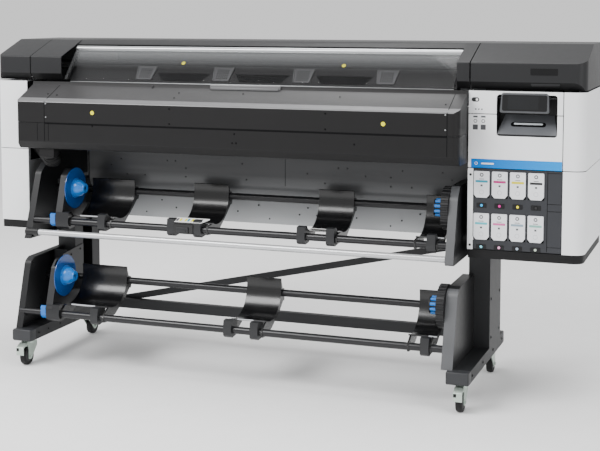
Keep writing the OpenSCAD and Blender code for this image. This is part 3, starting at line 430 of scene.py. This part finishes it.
def add_box(bm, lo, hi, bevel=0.0, segments=2, index=0):
    """A box with rounded edges."""
    lo, hi = Vector(lo), Vector(hi)
    place = Matrix.Translation((lo + hi) / 2) @ Matrix.Diagonal((*(hi - lo), 1))
    made = bmesh.ops.create_cube(bm, size=1.0, matrix=place)
    verts = made["verts"]
    if bevel:
        edges = list({e for v in verts for e in v.link_edges})
        made = bmesh.ops.bevel(bm, geom=edges, offset=bevel, segments=segments, profile=0.5, affect="EDGES")
        faces = made["faces"]
    else:
        faces = {f for v in verts for f in v.link_faces}
    for face in faces:
        face.material_index = index


def add_prism(bm, outline, thick, place, index=0):
    """An outline in a plane, thickened along its normal and put in place by a matrix."""
    bottom = [bm.verts.new(place @ Vector((x, y, 0))) for x, y in outline]
    top = [bm.verts.new(place @ Vector((x, y, thick))) for x, y in outline]
    faces = [bm.faces.new(list(reversed(bottom))), bm.faces.new(top)]
    for i in range(len(outline)):
        j = (i + 1) % len(outline)
        faces.append(bm.faces.new([bottom[i], bottom[j], top[j], top[i]]))
    for face in faces:
        face.material_index = index


def add_lathe(bm, profile, place, steps=24, index=0):
    """A closed (radius, height) profile turned round the local Z axis."""
    rings = []
    for k in range(steps):
        across, up = math.cos(2 * math.pi * k / steps), math.sin(2 * math.pi * k / steps)
        rings.append([bm.verts.new(place @ Vector((r * across, r * up, h))) for r, h in profile])
    count = len(profile)
    for k in range(steps):
        here, there = rings[k], rings[(k + 1) % steps]
        for i in range(count):
            j = (i + 1) % count
            face = bm.faces.new([here[i], here[j], there[j], there[i]])
            face.material_index = index
    bmesh.ops.remove_doubles(bm, verts=[v for ring in rings for v in ring], dist=1e-7)


def facing(at, normal):
    """Matrix that puts local +Z along a normal at a point."""
    return Matrix.Translation(at) @ Vector(normal).to_track_quat("Z", "Y").to_matrix().to_4x4()


def rounded_rect(w, h, r, steps=4):
    """Outline of a rectangle with round corners, centred on the origin."""
    out = []
    for cx, cy, start in [(w / 2 - r, h / 2 - r, 0), (r - w / 2, h / 2 - r, 90),
                          (r - w / 2, r - h / 2, 180), (w / 2 - r, r - h / 2, 270)]:
        for i in range(steps + 1):
            a = math.radians(start + 90 * i / steps)
            out.append((cx + r * math.cos(a), cy + r * math.sin(a)))
    return out


FRONT = Matrix(((1, 0, 0, 0), (0, 0, -1, 0), (0, 1, 0, 0), (0, 0, 0, 1)))
ALONG_X = Matrix(((0, 0, 1, 0), (1, 0, 0, 0), (0, 1, 0, 0), (0, 0, 0, 1)))


def on_front(x, y, z):
    """Matrix for a flat piece on a face that looks to the front, its outline in X and Z."""
    return Matrix.Translation((x, y, z)) @ FRONT


def ring(inner, outer, height, taper=0.0002):
    """Profile of a flat ring whose top is narrower by a taper on both sides."""
    return [(inner, 0), (outer, 0), (outer - taper, height), (inner + taper, height)]


SCREW_SHAPE = [(0, 0), (1, 0), (1, 0.25), (0.82, 0.5), (0.45, 0.55), (0.42, 0.2), (0, 0.18)]


def screws(name, places, r, body="root", material="screw"):
    """Button-head screws with a socket, at (point, normal) places."""
    bm = bmesh.new()
    for at, normal in places:
        add_lathe(bm, [(x * r, z * r) for x, z in SCREW_SHAPE], facing(at, normal), 14)
    return piece(name, bm, M[material], body)


# ---------- exhaust hose ----------

HOSE_ROUTE = [Vector(p) * MM for p in
              [(-981, -224.5, 918.7), (-981, -190.7, 856), (-1066, -90, 906), (-1152, -62, 944)]]
HOSE_R0, HOSE_R1 = 0.033, 0.042
HOSE_RIBS = 13
RIB_STEPS = 8
HOSE_SIDES = 40
RIB_DEPTH = 0.0085


def hose_radius(t):
    """Outer radius of the hose, which widens over its first third; t runs from 0 to 1."""
    return HOSE_R0 + (HOSE_R1 - HOSE_R0) * math.sin(math.pi / 2 * min(1, 3 * t))


def hose_point(t):
    """Point on the hose's middle line, a cubic curve; t runs from 0 to 1."""
    a, b, c, d = HOSE_ROUTE
    return a * (1 - t) ** 3 + b * 3 * t * (1 - t) ** 2 + c * 3 * t * t * (1 - t) + d * t ** 3


def hose_ring(bm, t, share):
    """One ring of the hose; share runs from 0 on the crest of a rib to 1 on the next crest."""
    if t == 0:
        along = (HOSE_ROUTE[1] - HOSE_ROUTE[0]).normalized()
    else:
        along = (hose_point(min(1, t + 0.02)) - hose_point(max(0, t - 0.02))).normalized()
    side = along.cross(Vector((1, 0.35, 0.1))).normalized()
    up = along.cross(side)
    r = hose_radius(t) - RIB_DEPTH * (0.5 - 0.5 * math.cos(2 * math.pi * share)) ** 1.5
    angles = [2 * math.pi * k / HOSE_SIDES for k in range(HOSE_SIDES)]
    return [bm.verts.new(hose_point(t) + r * (side * math.cos(a) + up * math.sin(a))) for a in angles]


def exhaust_hose():
    """Corrugated hose, the collar at its outlet and a dark plate at its mouth in the left box."""
    bm = bmesh.new()
    steps = HOSE_RIBS * RIB_STEPS
    rings = [hose_ring(bm, i / steps, i / RIB_STEPS) for i in range(steps + 1)]
    for here, there in zip(rings[:-1], rings[1:]):
        for k in range(HOSE_SIDES):
            j = (k + 1) % HOSE_SIDES
            bm.faces.new([here[k], here[j], there[j], there[k]])
    bm.faces.new(list(reversed(rings[0])))
    bm.faces.new(rings[-1])
    made = piece("corrugated_hose", bm, M["hose"], "root")
    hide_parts("exhaust_hose")
    bm = bmesh.new()
    start = (HOSE_ROUTE[1] - HOSE_ROUTE[0]).normalized()
    collar = [(0.0305, 0), (0.0345, 0), (0.0355, 0.002), (0.0355, 0.009), (0.0345, 0.011), (0.0305, 0.011)]
    add_lathe(bm, collar, facing(HOSE_ROUTE[0] + start * 0.0006, start), 40)
    piece("hose_collar", bm, M["black"], "root")
    bm = bmesh.new()
    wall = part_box("left_side_panels")[1].x
    add_box(bm, (wall - 0.0085, -0.1265, 0.8665), (wall - 0.0070, -0.0015, 0.9995), 0.0004, 1)
    piece("hose_mouth_dark_plate", bm, M["seam"], "root", smooth=False)


exhaust_hose()

# ---------- front module and covers ----------

MODULE_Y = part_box("module_upper_shell")[0].y
CAP_SEAMS = {"left": -0.970, "right": 0.790}
DUCT_SEAMS = [-1.005, -0.951]
SHELL_JOINT = (1.0480, 1.0558)
SEAM_FRONT, SEAM_BACK = -0.2954, -0.2940
SEAM_HALF = 0.0013
LIFT = 0.0004
MODULE_SKIN = [(-0.295 - LIFT, 0.975), (-0.295 - LIFT, 1.143),
               (-0.266, 1.1578 + LIFT), (-0.159, 1.2078 + LIFT)]


def seam_strip(bm, x, start, end):
    """Thin strip at x over one flat of the module, between two (y, z) points of its skin."""
    (y0, z0), (y1, z1) = start, end
    out = Vector((0, -abs(z1 - z0), abs(y1 - y0))).normalized()
    a, b, half = Vector((x, y0, z0)), Vector((x, y1, z1)), Vector((SEAM_HALF, 0, 0))
    quad = [a - half, a + half, b + half, b - half]
    low = [bm.verts.new(q - out * 0.0008) for q in quad]
    high = [bm.verts.new(q + out * 0.0001) for q in quad]
    bm.faces.new(high)
    bm.faces.new(list(reversed(low)))
    for i in range(4):
        j = (i + 1) % 4
        bm.faces.new([low[i], low[j], high[j], high[i]])


def module_seams():
    """Cap seams over the module, the dark joint between its shells and the duct's two seams."""
    bm = bmesh.new()
    for x in CAP_SEAMS.values():
        for start, end in zip(MODULE_SKIN[:-1], MODULE_SKIN[1:]):
            seam_strip(bm, x, start, end)
    joint_low, joint_high = SHELL_JOINT
    add_box(bm, (CAP_SEAMS["left"], SEAM_FRONT, joint_low), (CAP_SEAMS["right"], SEAM_BACK, joint_high))
    for x in DUCT_SEAMS:
        add_box(bm, (x - 0.0010, SEAM_FRONT, 0.9765), (x + 0.0010, SEAM_BACK, 1.0525))
    piece("module_seams", bm, M["seam"], "root", smooth=False)


module_seams()
SLOPE = math.radians(25)
SLOPE_N = Vector((0, -math.sin(SLOPE), math.cos(SLOPE)))
TOP_SCREWS = [(-0.986, 0.28), (-0.938, 0.21), (-0.378, 0.61), (-0.382, 0.22), (-0.090, 0.66), (0.330, 0.61),
              (0.770, 0.25)]
FRONT_SCREWS = [(-0.379, 1.128), (-0.379, 1.066), (0.300, 1.128), (0.300, 1.066), (-0.089, 1.034),
                (-0.098, 0.997), (-0.081, 0.997), (-0.738, 1.046), (0.420, 1.010)]
CAP_SCREWS = [(-0.963, 1.136), (-0.963, 1.078), (0.783, 1.136), (0.783, 1.078)]


def on_slope(x, share):
    """Point on the module's sloping top; share runs from its front edge to its rear."""
    return Vector((x, -0.262 + share * 0.100, 1.1597 + share * 0.0467))


def on_module(places):
    """Screw places on the module's front from (x, z) pairs."""
    return [(Vector((x, MODULE_Y, z)), (0, -1, 0)) for x, z in places]


screws("module_top_screws", [(on_slope(x, share), SLOPE_N) for x, share in TOP_SCREWS], 0.0038)
screws("module_front_screws", on_module(FRONT_SCREWS), 0.0036, material="seam")
screws("module_cap_screws", on_module(CAP_SCREWS), 0.0030, material="bright")


def marker_dots():
    """Plain yellow dots where the object carries small marks."""
    bm = bmesh.new()
    dot = [(0, 0), (0.0088, 0), (0.0084, 0.0005), (0, 0.0006)]
    for x, z in [(-0.738, 1.102), (0.537, 1.094)]:
        add_lathe(bm, dot, on_front(x, MODULE_Y, z), 20)
    piece("module_dots", bm, M["yellow"], "root")
    bm = bmesh.new()
    for x in (-0.427, 0.297):
        add_lathe(bm, dot, facing((x, -0.0500, 1.3066), (0, -0.748, 0.664)), 20)
    piece("window_dots", bm, M["yellow"], "window_lid")


marker_dots()


def lift_tab():
    """Low rounded rib along the module's rear top edge, drawn in the light grey of the painted edge
    highlight.
    """
    bm = bmesh.new()
    add_box(bm, (-0.253, -0.166, 1.204), (0.062, -0.148, 1.2245), 0.004, 3)
    add_box(bm, (-0.246, -0.172, 1.2035), (0.055, -0.166, 1.213), 0.002, 2)
    piece("module_lift_tab", bm, M["module_edge_highlight"], "root")


lift_tab()


OUTLET_RISE, OUTLET_RUN = 0.041, 0.076
RIM_LOW, RIM_HIGH = -0.0015, 0.0045


def outlet_trim():
    """Rounded rim round the slanted mouth of the exhaust outlet, and a small peg on the module."""
    bm = bmesh.new()
    slant = math.atan2(OUTLET_RISE, OUTLET_RUN)
    place = Matrix.Translation((-0.981, -0.2245, 0.9212)) @ Matrix.Rotation(slant, 4, "X")
    outer, inner = rounded_rect(0.0705, 0.087, 0.006), rounded_rect(0.0615, 0.078, 0.004)
    low, high, low_in, high_in = ([bm.verts.new(place @ Vector((x, y, z))) for x, y in outline]
                                  for outline in (outer, inner) for z in (RIM_LOW, RIM_HIGH))
    count = len(outer)
    for i in range(count):
        j = (i + 1) % count
        bm.faces.new([low[i], low[j], high[j], high[i]])
        bm.faces.new([low_in[j], low_in[i], high_in[i], high_in[j]])
        bm.faces.new([low[j], low[i], low_in[i], low_in[j]])
        bm.faces.new([high[i], high[j], high_in[j], high_in[i]])
    piece("outlet_rim", bm, M["module_low"], "root")
    bm = bmesh.new()
    add_lathe(bm, [(0, -0.003), (0.0045, -0.003), (0.0045, 0.007), (0.0030, 0.010), (0, 0.0105)],
              Matrix.Translation((-0.518, -0.166, 1.2050)), 20)
    piece("module_peg", bm, M["hook"], "root")


outlet_trim()


RAIL_SLOPE = math.atan2(0.070, 0.062)
BRACKET_X0, BRACKET_PITCH, BRACKETS = -0.602, 0.362, 4
PAD_PITCH_X, PAD_PITCH_Y, PAD_GRID = 0.0092, 0.0090, 6


def inner_rail_detail():
    """Tapered brackets with perforated pads whose holes are squares of painted shade, and dark plates of
    painted shade in the recesses, along the inner rail behind the window.
    """
    tilt = Matrix.Rotation(RAIL_SLOPE, 4, "X")
    hole = rounded_rect(0.0056, 0.0056, 0.002, 2)
    flange = [(0.033, 0.014), (0.037, 0.014), (0.047, 0.086), (0.043, 0.086)]
    plates, pads, dark = bmesh.new(), bmesh.new(), bmesh.new()
    for i in range(BRACKETS):
        base = Matrix.Translation((BRACKET_X0 + BRACKET_PITCH * i, -0.0922, 1.2242)) @ tilt
        add_prism(plates, [(-0.033, 0.014), (0.033, 0.014), (0.043, 0.086), (-0.043, 0.086)], 0.0018, base)
        for side in (-1, 1):
            add_prism(plates, [(side * x, y) for x, y in flange][::side], 0.0050, base)
        for row in range(PAD_GRID):
            for col in range(PAD_GRID):
                u, v = (col - 2.5) * PAD_PITCH_X, 0.026 + row * PAD_PITCH_Y
                # Each hole of a pad is a near-black square of painted shade.
                add_prism(pads, hole, 0.0024, base @ Matrix.Translation((u, v, 0.0)))
        # Between brackets, a dark plate is painted shade in the recess.
        if i < BRACKETS - 1:
            add_prism(dark, [(0.088, 0.010), (0.274, 0.010), (0.304, 0.052), (0.058, 0.052)], 0.0010, base)
    piece("inner_rail_brackets", plates, M["inner"], "root", smooth=False)
    piece("inner_rail_pads", pads, M["dark_trim_and_shade"], "root", smooth=False)
    piece("inner_rail_recess_shade", dark, M["seam"], "root", smooth=False)
    bm = bmesh.new()
    add_box(bm, (-0.952, -0.104, 1.2185), (0.770, -0.096, 1.2225), 0.001)
    piece("inner_bright_strip", bm, M["bright"], "root")


inner_rail_detail()


def cover_details():
    """Blank name plate and pull on the service cover, and a dark seam between the left covers."""
    bm = bmesh.new()
    add_prism(bm, rounded_rect(0.104, 0.026, 0.003), 0.0009, on_front(1.130, -0.1449, 1.298))
    piece("name_plate", bm, M["dark_trim_and_shade"], "right_top_cover")
    bm = bmesh.new()
    add_box(bm, (1.083, -0.1425, 1.2405), (1.187, -0.1325, 1.2475), 0.002, 3)
    piece("service_cover_pull", bm, M["dark_trim_and_shade"], "right_top_cover")
    bm = bmesh.new()
    outside = [(-0.1447, 1.262), (-0.1447, 1.3300), (0.0435, 1.4010), (0.370, 1.4010)]
    inside = [(0.370, 1.3985), (0.0440, 1.3985), (-0.1420, 1.3285), (-0.1420, 1.262)]
    add_prism(bm, outside + inside, 0.0026, Matrix.Translation((-1.1288, 0, 0)) @ ALONG_X)
    piece("left_cover_seam", bm, M["seam"], "root", smooth=False)


cover_details()

# ---------- media plate ----------


PLATE_Y = 0.0549
LOW_Y, LOW_Z, LOW_LEAN = 0.1236, 0.648, 0.0904
PLATE_ROWS = [
    (0.935, (-0.90, -0.62, -0.33, -0.05, 0.05, 0.19, 0.33, 0.62, 0.76)),
    (0.912, (-0.70, -0.66, -0.44, -0.30, 0.14, 0.40, 0.43)),
    (0.868, (-0.79, -0.56, -0.52, -0.20, 0.24, 0.28, 0.52, 0.69)),
    (0.838, (-0.84, -0.47, 0.10, 0.36, 0.47, 0.73)),
    (0.800, (-0.76, -0.67, -0.47, -0.18, 0.18, 0.47, 0.56, 0.70)),
]
LOW_ROWS = [
    (0.680, (-0.62, -0.15, 0.08, 0.22, 0.58, 0.66)),
    (0.648, (-0.86, -0.55, -0.25, 0.04, 0.12, 0.30, 0.50, 0.72)),
    (0.622, (-0.70, -0.10, 0.17, 0.45, 0.68)),
]


def media_plate_details():
    """Rows of small screws over the plate, and the seam between its upper halves."""
    places = [(Vector((x, PLATE_Y, z)), (0, -1, 0)) for z, row in PLATE_ROWS for x in row]
    low = Vector((0, -0.996, -0.09))
    places += [(Vector((x, LOW_Y - LOW_LEAN * (z - LOW_Z), z)), low) for z, row in LOW_ROWS for x in row]
    screws("media_plate_screws", places, 0.0036)
    bm = bmesh.new()
    add_box(bm, (-0.0008, 0.0542, 0.780), (0.0008, 0.0556, 0.960))
    piece("media_plate_seam", bm, M["seam"], "root", smooth=False)


media_plate_details()

# ---------- fascia, display, ink ----------

FASCIA_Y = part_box("fascia_lower")[0].y
BAND_Z = 0.9385
SHELF_SLOPE = math.atan2(0.073, 0.069)


def fascia_details():
    """Blue band, plain marks, the power button's face, trim screws and the lit slot of the shelf."""
    bm = bmesh.new()
    add_prism(bm, rounded_rect(0.352, 0.035, 0.002), 0.0012, on_front(1.028, FASCIA_Y + 0.0002, BAND_Z))
    piece("blue_band", bm, M["band"], "root")
    bm = bmesh.new()
    at = on_front(0.872, FASCIA_Y - 0.0010, BAND_Z)
    add_lathe(bm, ring(0.0042, 0.0062, 0.0005), at, 24)
    add_prism(bm, rounded_rect(0.050, 0.006, 0.0025), 0.0005, at @ Matrix.Translation((0.045, 0, 0)))
    piece("band_mark", bm, M["paper"], "root")
    bm = bmesh.new()
    on_sheet = FASCIA_Y + 0.0001
    for x in (0.867, 0.898):
        add_prism(bm, rounded_rect(0.020, 0.020, 0.002), 0.0004, on_front(x, on_sheet, 1.080))
        add_prism(bm, rounded_rect(0.018, 0.006, 0.002), 0.0004, on_front(x, on_sheet, 1.121))
        add_lathe(bm, ring(0.0052, 0.0078, 0.0004), on_front(x, on_sheet, 1.104), 6)
    for i in range(3):
        add_lathe(bm, [(0, 0), (0.003, 0), (0.0028, 0.0006), (0, 0.0006)],
                  on_front(0.868 + 0.012 * i, on_sheet, 1.150), 14)
    piece("fascia_marks", bm, M["print"], "root")
    bm = bmesh.new()
    lo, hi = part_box("power_button")
    x, z = (lo.x + hi.x) / 2, (lo.z + hi.z) / 2
    add_prism(bm, rounded_rect(0.0085, 0.0085, 0.0020), 0.0005, on_front(x + 0.0065, lo.y, z))
    piece("power_ring", bm, M["paper"], "power_button")
    trim_screws = [(Vector((0.8505, FASCIA_Y, z)), (0, -1, 0)) for z in (0.615, 0.893)]
    screws("trim_screws", trim_screws, 0.0048)
    bm = bmesh.new()
    slope = Matrix.Translation((1.0665, -0.1066, 1.0917)) @ Matrix.Rotation(SHELF_SLOPE, 4, "X")
    add_prism(bm, rounded_rect(0.136, 0.022, 0.0105), 0.0010, slope)
    piece("shelf_slot", bm, M["seam"], "root")
    bm = bmesh.new()
    add_prism(bm, rounded_rect(0.112, 0.0075, 0.0036), 0.0022, slope @ Matrix.Translation((0, 0.002, 0)))
    piece("shelf_light_bar", bm, M["lamp"], "root")


fascia_details()

DISPLAY_HINGE = Vector((0, -0.112, 1.196))
DISPLAY_TILT = math.radians(8)
DISPLAY_X = 1.059


def display_glass():
    """Black glass in a grey frame with a slightly lighter picture area, on the tilted display."""
    face = Matrix.Translation(DISPLAY_HINGE) @ Matrix.Rotation(-DISPLAY_TILT, 4, "X")
    front = face @ Matrix.Translation((DISPLAY_X, -0.0399, -0.0235)) @ FRONT
    picture = front @ Matrix.Translation((-0.006, 0.001, 0.0008))
    bm = bmesh.new()
    add_prism(bm, rounded_rect(0.172, 0.062, 0.006), 0.0009, front)
    piece("display_glass", bm, M["glass"], "display")
    bm = bmesh.new()
    add_prism(bm, rounded_rect(0.118, 0.050, 0.001), 0.0004, picture)
    piece("display_picture", bm, M["screen"], "display")


display_glass()

INK_X0, INK_PITCH, INK_W = 0.864, 0.0707, 0.061
LAMP_ROWS = (0.773, 0.609)


def cartridge_faces():
    """Colour stripe, round mark, line and square on each cartridge, and the ring of its finger pad."""
    for i in range(8):
        lo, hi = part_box(f"cartridge_{i + 1}")
        x, y = (lo.x + hi.x) / 2, lo.y
        stripe = rounded_rect(INK_W - 0.013, 0.0085, 0.002)
        bm = bmesh.new()
        add_prism(bm, stripe, 0.0008, on_front(x, y + 0.0004, hi.z - 0.040), 0)
        add_lathe(bm, ring(0.0040, 0.0074, 0.0006), on_front(x, y + 0.0008, hi.z - 0.0145), 24, 1)
        add_lathe(bm, ring(0.0076, 0.0088, 0.0005, 0.0001), on_front(x, y + 0.0002, lo.z + 0.022), 28, 2)
        add_prism(bm, rounded_rect(0.020, 0.0022, 0.001), 0.0005, on_front(x, y + 0.0002, hi.z - 0.0310), 1)
        add_prism(bm, rounded_rect(0.008, 0.0070, 0.001), 0.0005, on_front(x, y + 0.0002, hi.z - 0.0560), 1)
        looks = [INK[i], M["print"], M["lip"]]
        piece(f"cartridge_label_{i + 1}", bm, looks, f"cartridge_{i + 1}")


def ink_lamps():
    """Coloured lamps under the cartridges, and the lines of the blank doors beside them."""
    bm = bmesh.new()
    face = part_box("cartridge_rack")[0].y
    lens = [(0, 0), (0.0058, 0), (0.0052, 0.0014), (0, 0.0018)]
    for row, z in enumerate(LAMP_ROWS):
        for col in range(4):
            x = INK_X0 + INK_PITCH * col + INK_W / 2
            at = on_front(x, face - 0.0006, z)
            add_prism(bm, rounded_rect(0.040, 0.020, 0.004), 0.0008, on_front(x, face, z), 0)
            add_lathe(bm, ring(0.0058, 0.0074, 0.0014), at, 24, 1)
            add_lathe(bm, lens, at, 24, 2 + row * 4 + col)
    piece("ink_lamps", bm, [M["recess"], M["dark_trim_and_shade"]] + LAMPS, "root")
    bm = bmesh.new()
    for z in (0.910, 0.790, 0.762, 0.622):
        add_box(bm, (1.150, -0.1416, z - 0.0007), (1.203, -0.1406, z + 0.0007))
    add_box(bm, (1.1492, -0.1418, 0.604), (1.1508, -0.1406, 0.914))
    piece("ink_bay_lines", bm, M["seam"], "root", smooth=False)


cartridge_faces()
ink_lamps()

# ---------- roll stations ----------


LABEL_TILT = math.atan2(0.014, 0.038)
SMALL_LABEL_TILT = math.radians(-24)
LABEL_OUTLINE = [(-0.043, -0.019), (0.080, -0.019), (0.105, 0.012), (0.105, 0.019), (-0.043, 0.019)]
PATCHES = [(-0.034, 3), (-0.020, 2), (0.004, 2), (0.016, 1), (0.034, 2), (0.052, 3)]
SMALL_PATCHES = [(-0.024, 3), (-0.008, 2), (0.008, 1), (0.024, 2)]


def label_plate():
    """Loading label on the left deflector, with plain coloured patches, and a small one on the right."""
    looks = [M["paper"], INK[0], M["yellow"], M["print"]]
    bm = bmesh.new()
    place = Matrix.Translation((-0.343, -0.223, 0.6560)) @ Matrix.Rotation(LABEL_TILT, 4, "X")
    add_prism(bm, LABEL_OUTLINE, 0.0014, place)
    for x, look in PATCHES:
        at = place @ Matrix.Translation((x, 0, 0.0012))
        add_prism(bm, rounded_rect(0.009, 0.022, 0.001), 0.0004, at, look)
    piece("loading_label", bm, looks, "upper_deflector_a")
    bm = bmesh.new()
    place = Matrix.Translation((0.238, -0.183, 0.6455)) @ Matrix.Rotation(SMALL_LABEL_TILT, 4, "X")
    add_prism(bm, rounded_rect(0.074, 0.016, 0.001), 0.0012, place)
    for x, look in SMALL_PATCHES:
        at = place @ Matrix.Translation((x, 0, 0.0010))
        add_prism(bm, rounded_rect(0.009, 0.010, 0.001), 0.0004, at, look)
    piece("loading_label_small", bm, looks, "upper_deflector_b")
    bm = bmesh.new()
    add_box(bm, (-0.372, -0.2535, 0.606), (-0.318, -0.2475, 0.630), 0.002, 3)
    add_box(bm, (-0.362, -0.2565, 0.611), (-0.328, -0.2530, 0.620), 0.0015, 2)
    piece("deflector_latch", bm, M["hook"], "upper_deflector_a")


label_plate()


LIP_ANGLE = math.radians(-114)
LIP_RADIUS = 0.124
LIP_SPANS = {
    "upper": [("upper_hub_arm", -0.870, -0.755), ("end_deflectors", 0.7215, 0.755)],
    "lower": [("lower_hub_arm", -0.861, -0.746), ("lower_deflector", -0.085, -0.014),
              ("end_deflectors", 0.7215, 0.755)],
}


def lip_strips():
    """Pale strips along the front lips of the guides."""
    out = Vector((0, math.cos(LIP_ANGLE), math.sin(LIP_ANGLE)))
    lip = Vector((0, math.sin(LIP_ANGLE), -math.cos(LIP_ANGLE)))
    for station in STATIONS:
        at = ROLL_AXIS[station] + out * LIP_RADIUS
        for body, x0, x1 in LIP_SPANS[station]:
            bm = bmesh.new()
            place = facing(Vector(((x0 + x1) / 2, at.y, at.z)), lip)
            add_prism(bm, rounded_rect(x1 - x0, 0.0054, 0.002), 0.0010, place)
            ride = "root" if body == "end_deflectors" else body
            piece(f"{station}_{body}_lip", bm, M["lip"], ride)


lip_strips()


BRACKET_SCREWS = [(-0.02, 0.430), (0.06, 0.442), (0.06, 0.20), (-0.03, 0.20), (0.06, 0.32)]
CHEEK_SCREWS = [(-0.20, 0.42), (-0.15, 0.25), (-0.26, 0.20), (-0.12, 0.80), (-0.17, 0.60), (-0.05, 0.83)]
LEG_SCREWS = [(y, z) for y in (0.05, 0.22) for z in (0.20, 0.36, 0.53)]
FOOT_SCREWS = [(y, 0.136) for y in (-0.30, -0.10, 0.10, 0.29)]
INNER_FOOT_SCREWS = [(y, 0.136) for y in (-0.2205, -0.30, -0.12, 0.30)]


def side_screws(name, x, places, r, side=1):
    """Screws at (y, z) places on a wall at x that looks to the right, or to the left with side -1."""
    screws(name, [(Vector((x, y, z)), (side, 0, 0)) for y, z in places], r)


def cheek_screws():
    """Screws of the left bracket, the left cheeks, both legs and the left foot."""
    side_screws("left_bracket_screws", -1.0085, BRACKET_SCREWS, 0.005)
    side_screws("left_cheek_screws", -1.097, CHEEK_SCREWS, 0.005)
    side_screws("right_leg_screws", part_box("right_leg")[1].x, LEG_SCREWS + FOOT_SCREWS, 0.006)
    side_screws("left_leg_screws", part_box("left_leg")[0].x, LEG_SCREWS, 0.006, -1)
    side_screws("left_foot_screws", -1.012, INNER_FOOT_SCREWS, 0.005)


cheek_screws()


def foot_caps():
    """Moulded caps over the ends of the foot tubes."""
    for name in ("left_leg", "right_leg"):
        lo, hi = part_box(name)
        bm = bmesh.new()
        for y0, y1 in ((lo.y - 0.0004, lo.y + 0.045), (hi.y - 0.045, hi.y + 0.0004)):
            add_box(bm, (lo.x - 0.0012, y0, lo.z - 0.0010), (hi.x + 0.0012, y1, 0.1612), 0.006, 4)
        piece(name + "_caps", bm, M["frame_cap"], "root")


foot_caps()


FORK_FACE = 0.0172
RACE_Z = 0.1035
RACE = [(0.012, 0), (0.0275, 0), (0.0285, 0.002), (0.0285, 0.005), (0.026, 0.0075), (0.012, 0.0075)]
HUB_FACE = 0.0104
HUB = [(0.010, 0), (0.0225, 0), (0.0232, 0.0012), (0.0205, 0.0022), (0.0125, 0.0022), (0.0105, 0.0012)]
NUT_RADIUS = 0.0068
NUT_CORNERS = [math.radians(60 * k) for k in range(6)]
NUT = [(NUT_RADIUS * math.cos(a), NUT_RADIUS * math.sin(a)) for a in NUT_CORNERS]


def caster_details():
    """Swivel race, axle nuts, wheel hubs and pedal tabs of the casters."""
    for name in CASTERS:
        lo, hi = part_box(name + "_fork")
        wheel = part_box(name + "_wheel")
        centre = (wheel[0] + wheel[1]) / 2
        x = (lo.x + hi.x) / 2
        swivel = [j for j in frame["joints"] if j["name"] == name + "_swivel"][0]["pos_m"]
        bm = bmesh.new()
        add_lathe(bm, RACE, Matrix.Translation((x, swivel[1], RACE_Z)), 36)
        for side in (-1, 1):
            add_prism(bm, NUT, 0.0045, facing((x + side * FORK_FACE, centre.y, centre.z), (side, 0, 0)))
        piece(name + "_race", bm, M["zinc"], name + "_fork")
        if name.startswith("front"):
            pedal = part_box(name + "_pedal")[0]
            low, high = (0.002, -0.0022, 0.070), (0.013, 0.0004, 0.083)
            bm = bmesh.new()
            add_box(bm, *((pedal.x + dx, pedal.y + dy, z) for dx, dy, z in (low, high)), 0.0009, 2)
            piece(name + "_pedal_tab", bm, M["black"], name + "_pedal")
        bm = bmesh.new()
        for side in (-1, 1):
            add_lathe(bm, HUB, facing((x + side * HUB_FACE, centre.y, centre.z), (side, 0, 0)), 32)
        piece(name + "_hub_rings", bm, M["wheel_core"], name + "_wheel")


caster_details()

# ---------- back ----------


BACK_Y = 0.381
BACK_SCREWS = [(x, z) for x in (-1.10, -0.55, 0.0, 0.55, 1.10) for z in (0.63, 0.98, 1.36)]


def back_details():
    """Screws and seams of the rear sheet, and the pins of the power inlet."""
    places = [(Vector((x, BACK_Y, z)), (0, 1, 0)) for x, z in BACK_SCREWS]
    screws("back_panel_screws", places, 0.005)
    bm = bmesh.new()
    for x in (-0.28, 0.28):
        add_box(bm, (x - 0.0008, 0.3805, 0.602), (x + 0.0008, 0.3815, 1.388))
    piece("back_panel_seams", bm, M["seam"], "root", smooth=False)
    bm = bmesh.new()
    for dx in (-0.009, 0.0, 0.009):
        add_box(bm, (1.026 + dx - 0.001, 0.366, 0.648), (1.026 + dx + 0.001, 0.377, 0.656), 0.0004, 1)
    piece("power_inlet_pins", bm, M["steel"], "root")


back_details()

# ---------- stage ----------


WORLD_STRENGTH = 0.95


def make_stage():
    """Pale floor under an even white sky."""
    bpy.ops.mesh.primitive_plane_add(size=60, location=(0, 0, 0))
    floor = bpy.context.active_object
    floor.name = "floor"
    floor.data.materials.append(surface("floor", (0.93, 0.93, 0.93), 0.9, 40, 0.02, vary=0.01))
    world = bpy.data.worlds.new("studio")
    world.use_nodes = True
    background = world.node_tree.nodes["Background"]
    background.inputs["Color"].default_value = (1.0, 1.0, 1.0, 1.0)
    background.inputs["Strength"].default_value = WORLD_STRENGTH
    bpy.context.scene.world = world


def area_light(name, at, aim, size, watts):
    """A rectangular light of a size in metres that looks at a point."""
    data = bpy.data.lights.new(name, "AREA")
    data.shape = "RECTANGLE"
    data.size, data.size_y = size
    data.energy = watts
    lamp = bpy.data.objects.new(name, data)
    lamp.location = at
    lamp.rotation_euler = (Vector(aim) - Vector(at)).to_track_quat("-Z", "Y").to_euler()
    bpy.context.scene.collection.objects.link(lamp)


make_stage()
area_light("key", (-2.2, -3.2, 4.2), (0, 0, 0.8), (3.0, 2.0), 300)
area_light("top", (0.3, 0.4, 4.4), (0, 0, 1.0), (4.0, 2.0), 120)
area_light("right", (4.4, -2.0, 2.2), (0.8, 0, 0.8), (2.0, 2.5), 45)
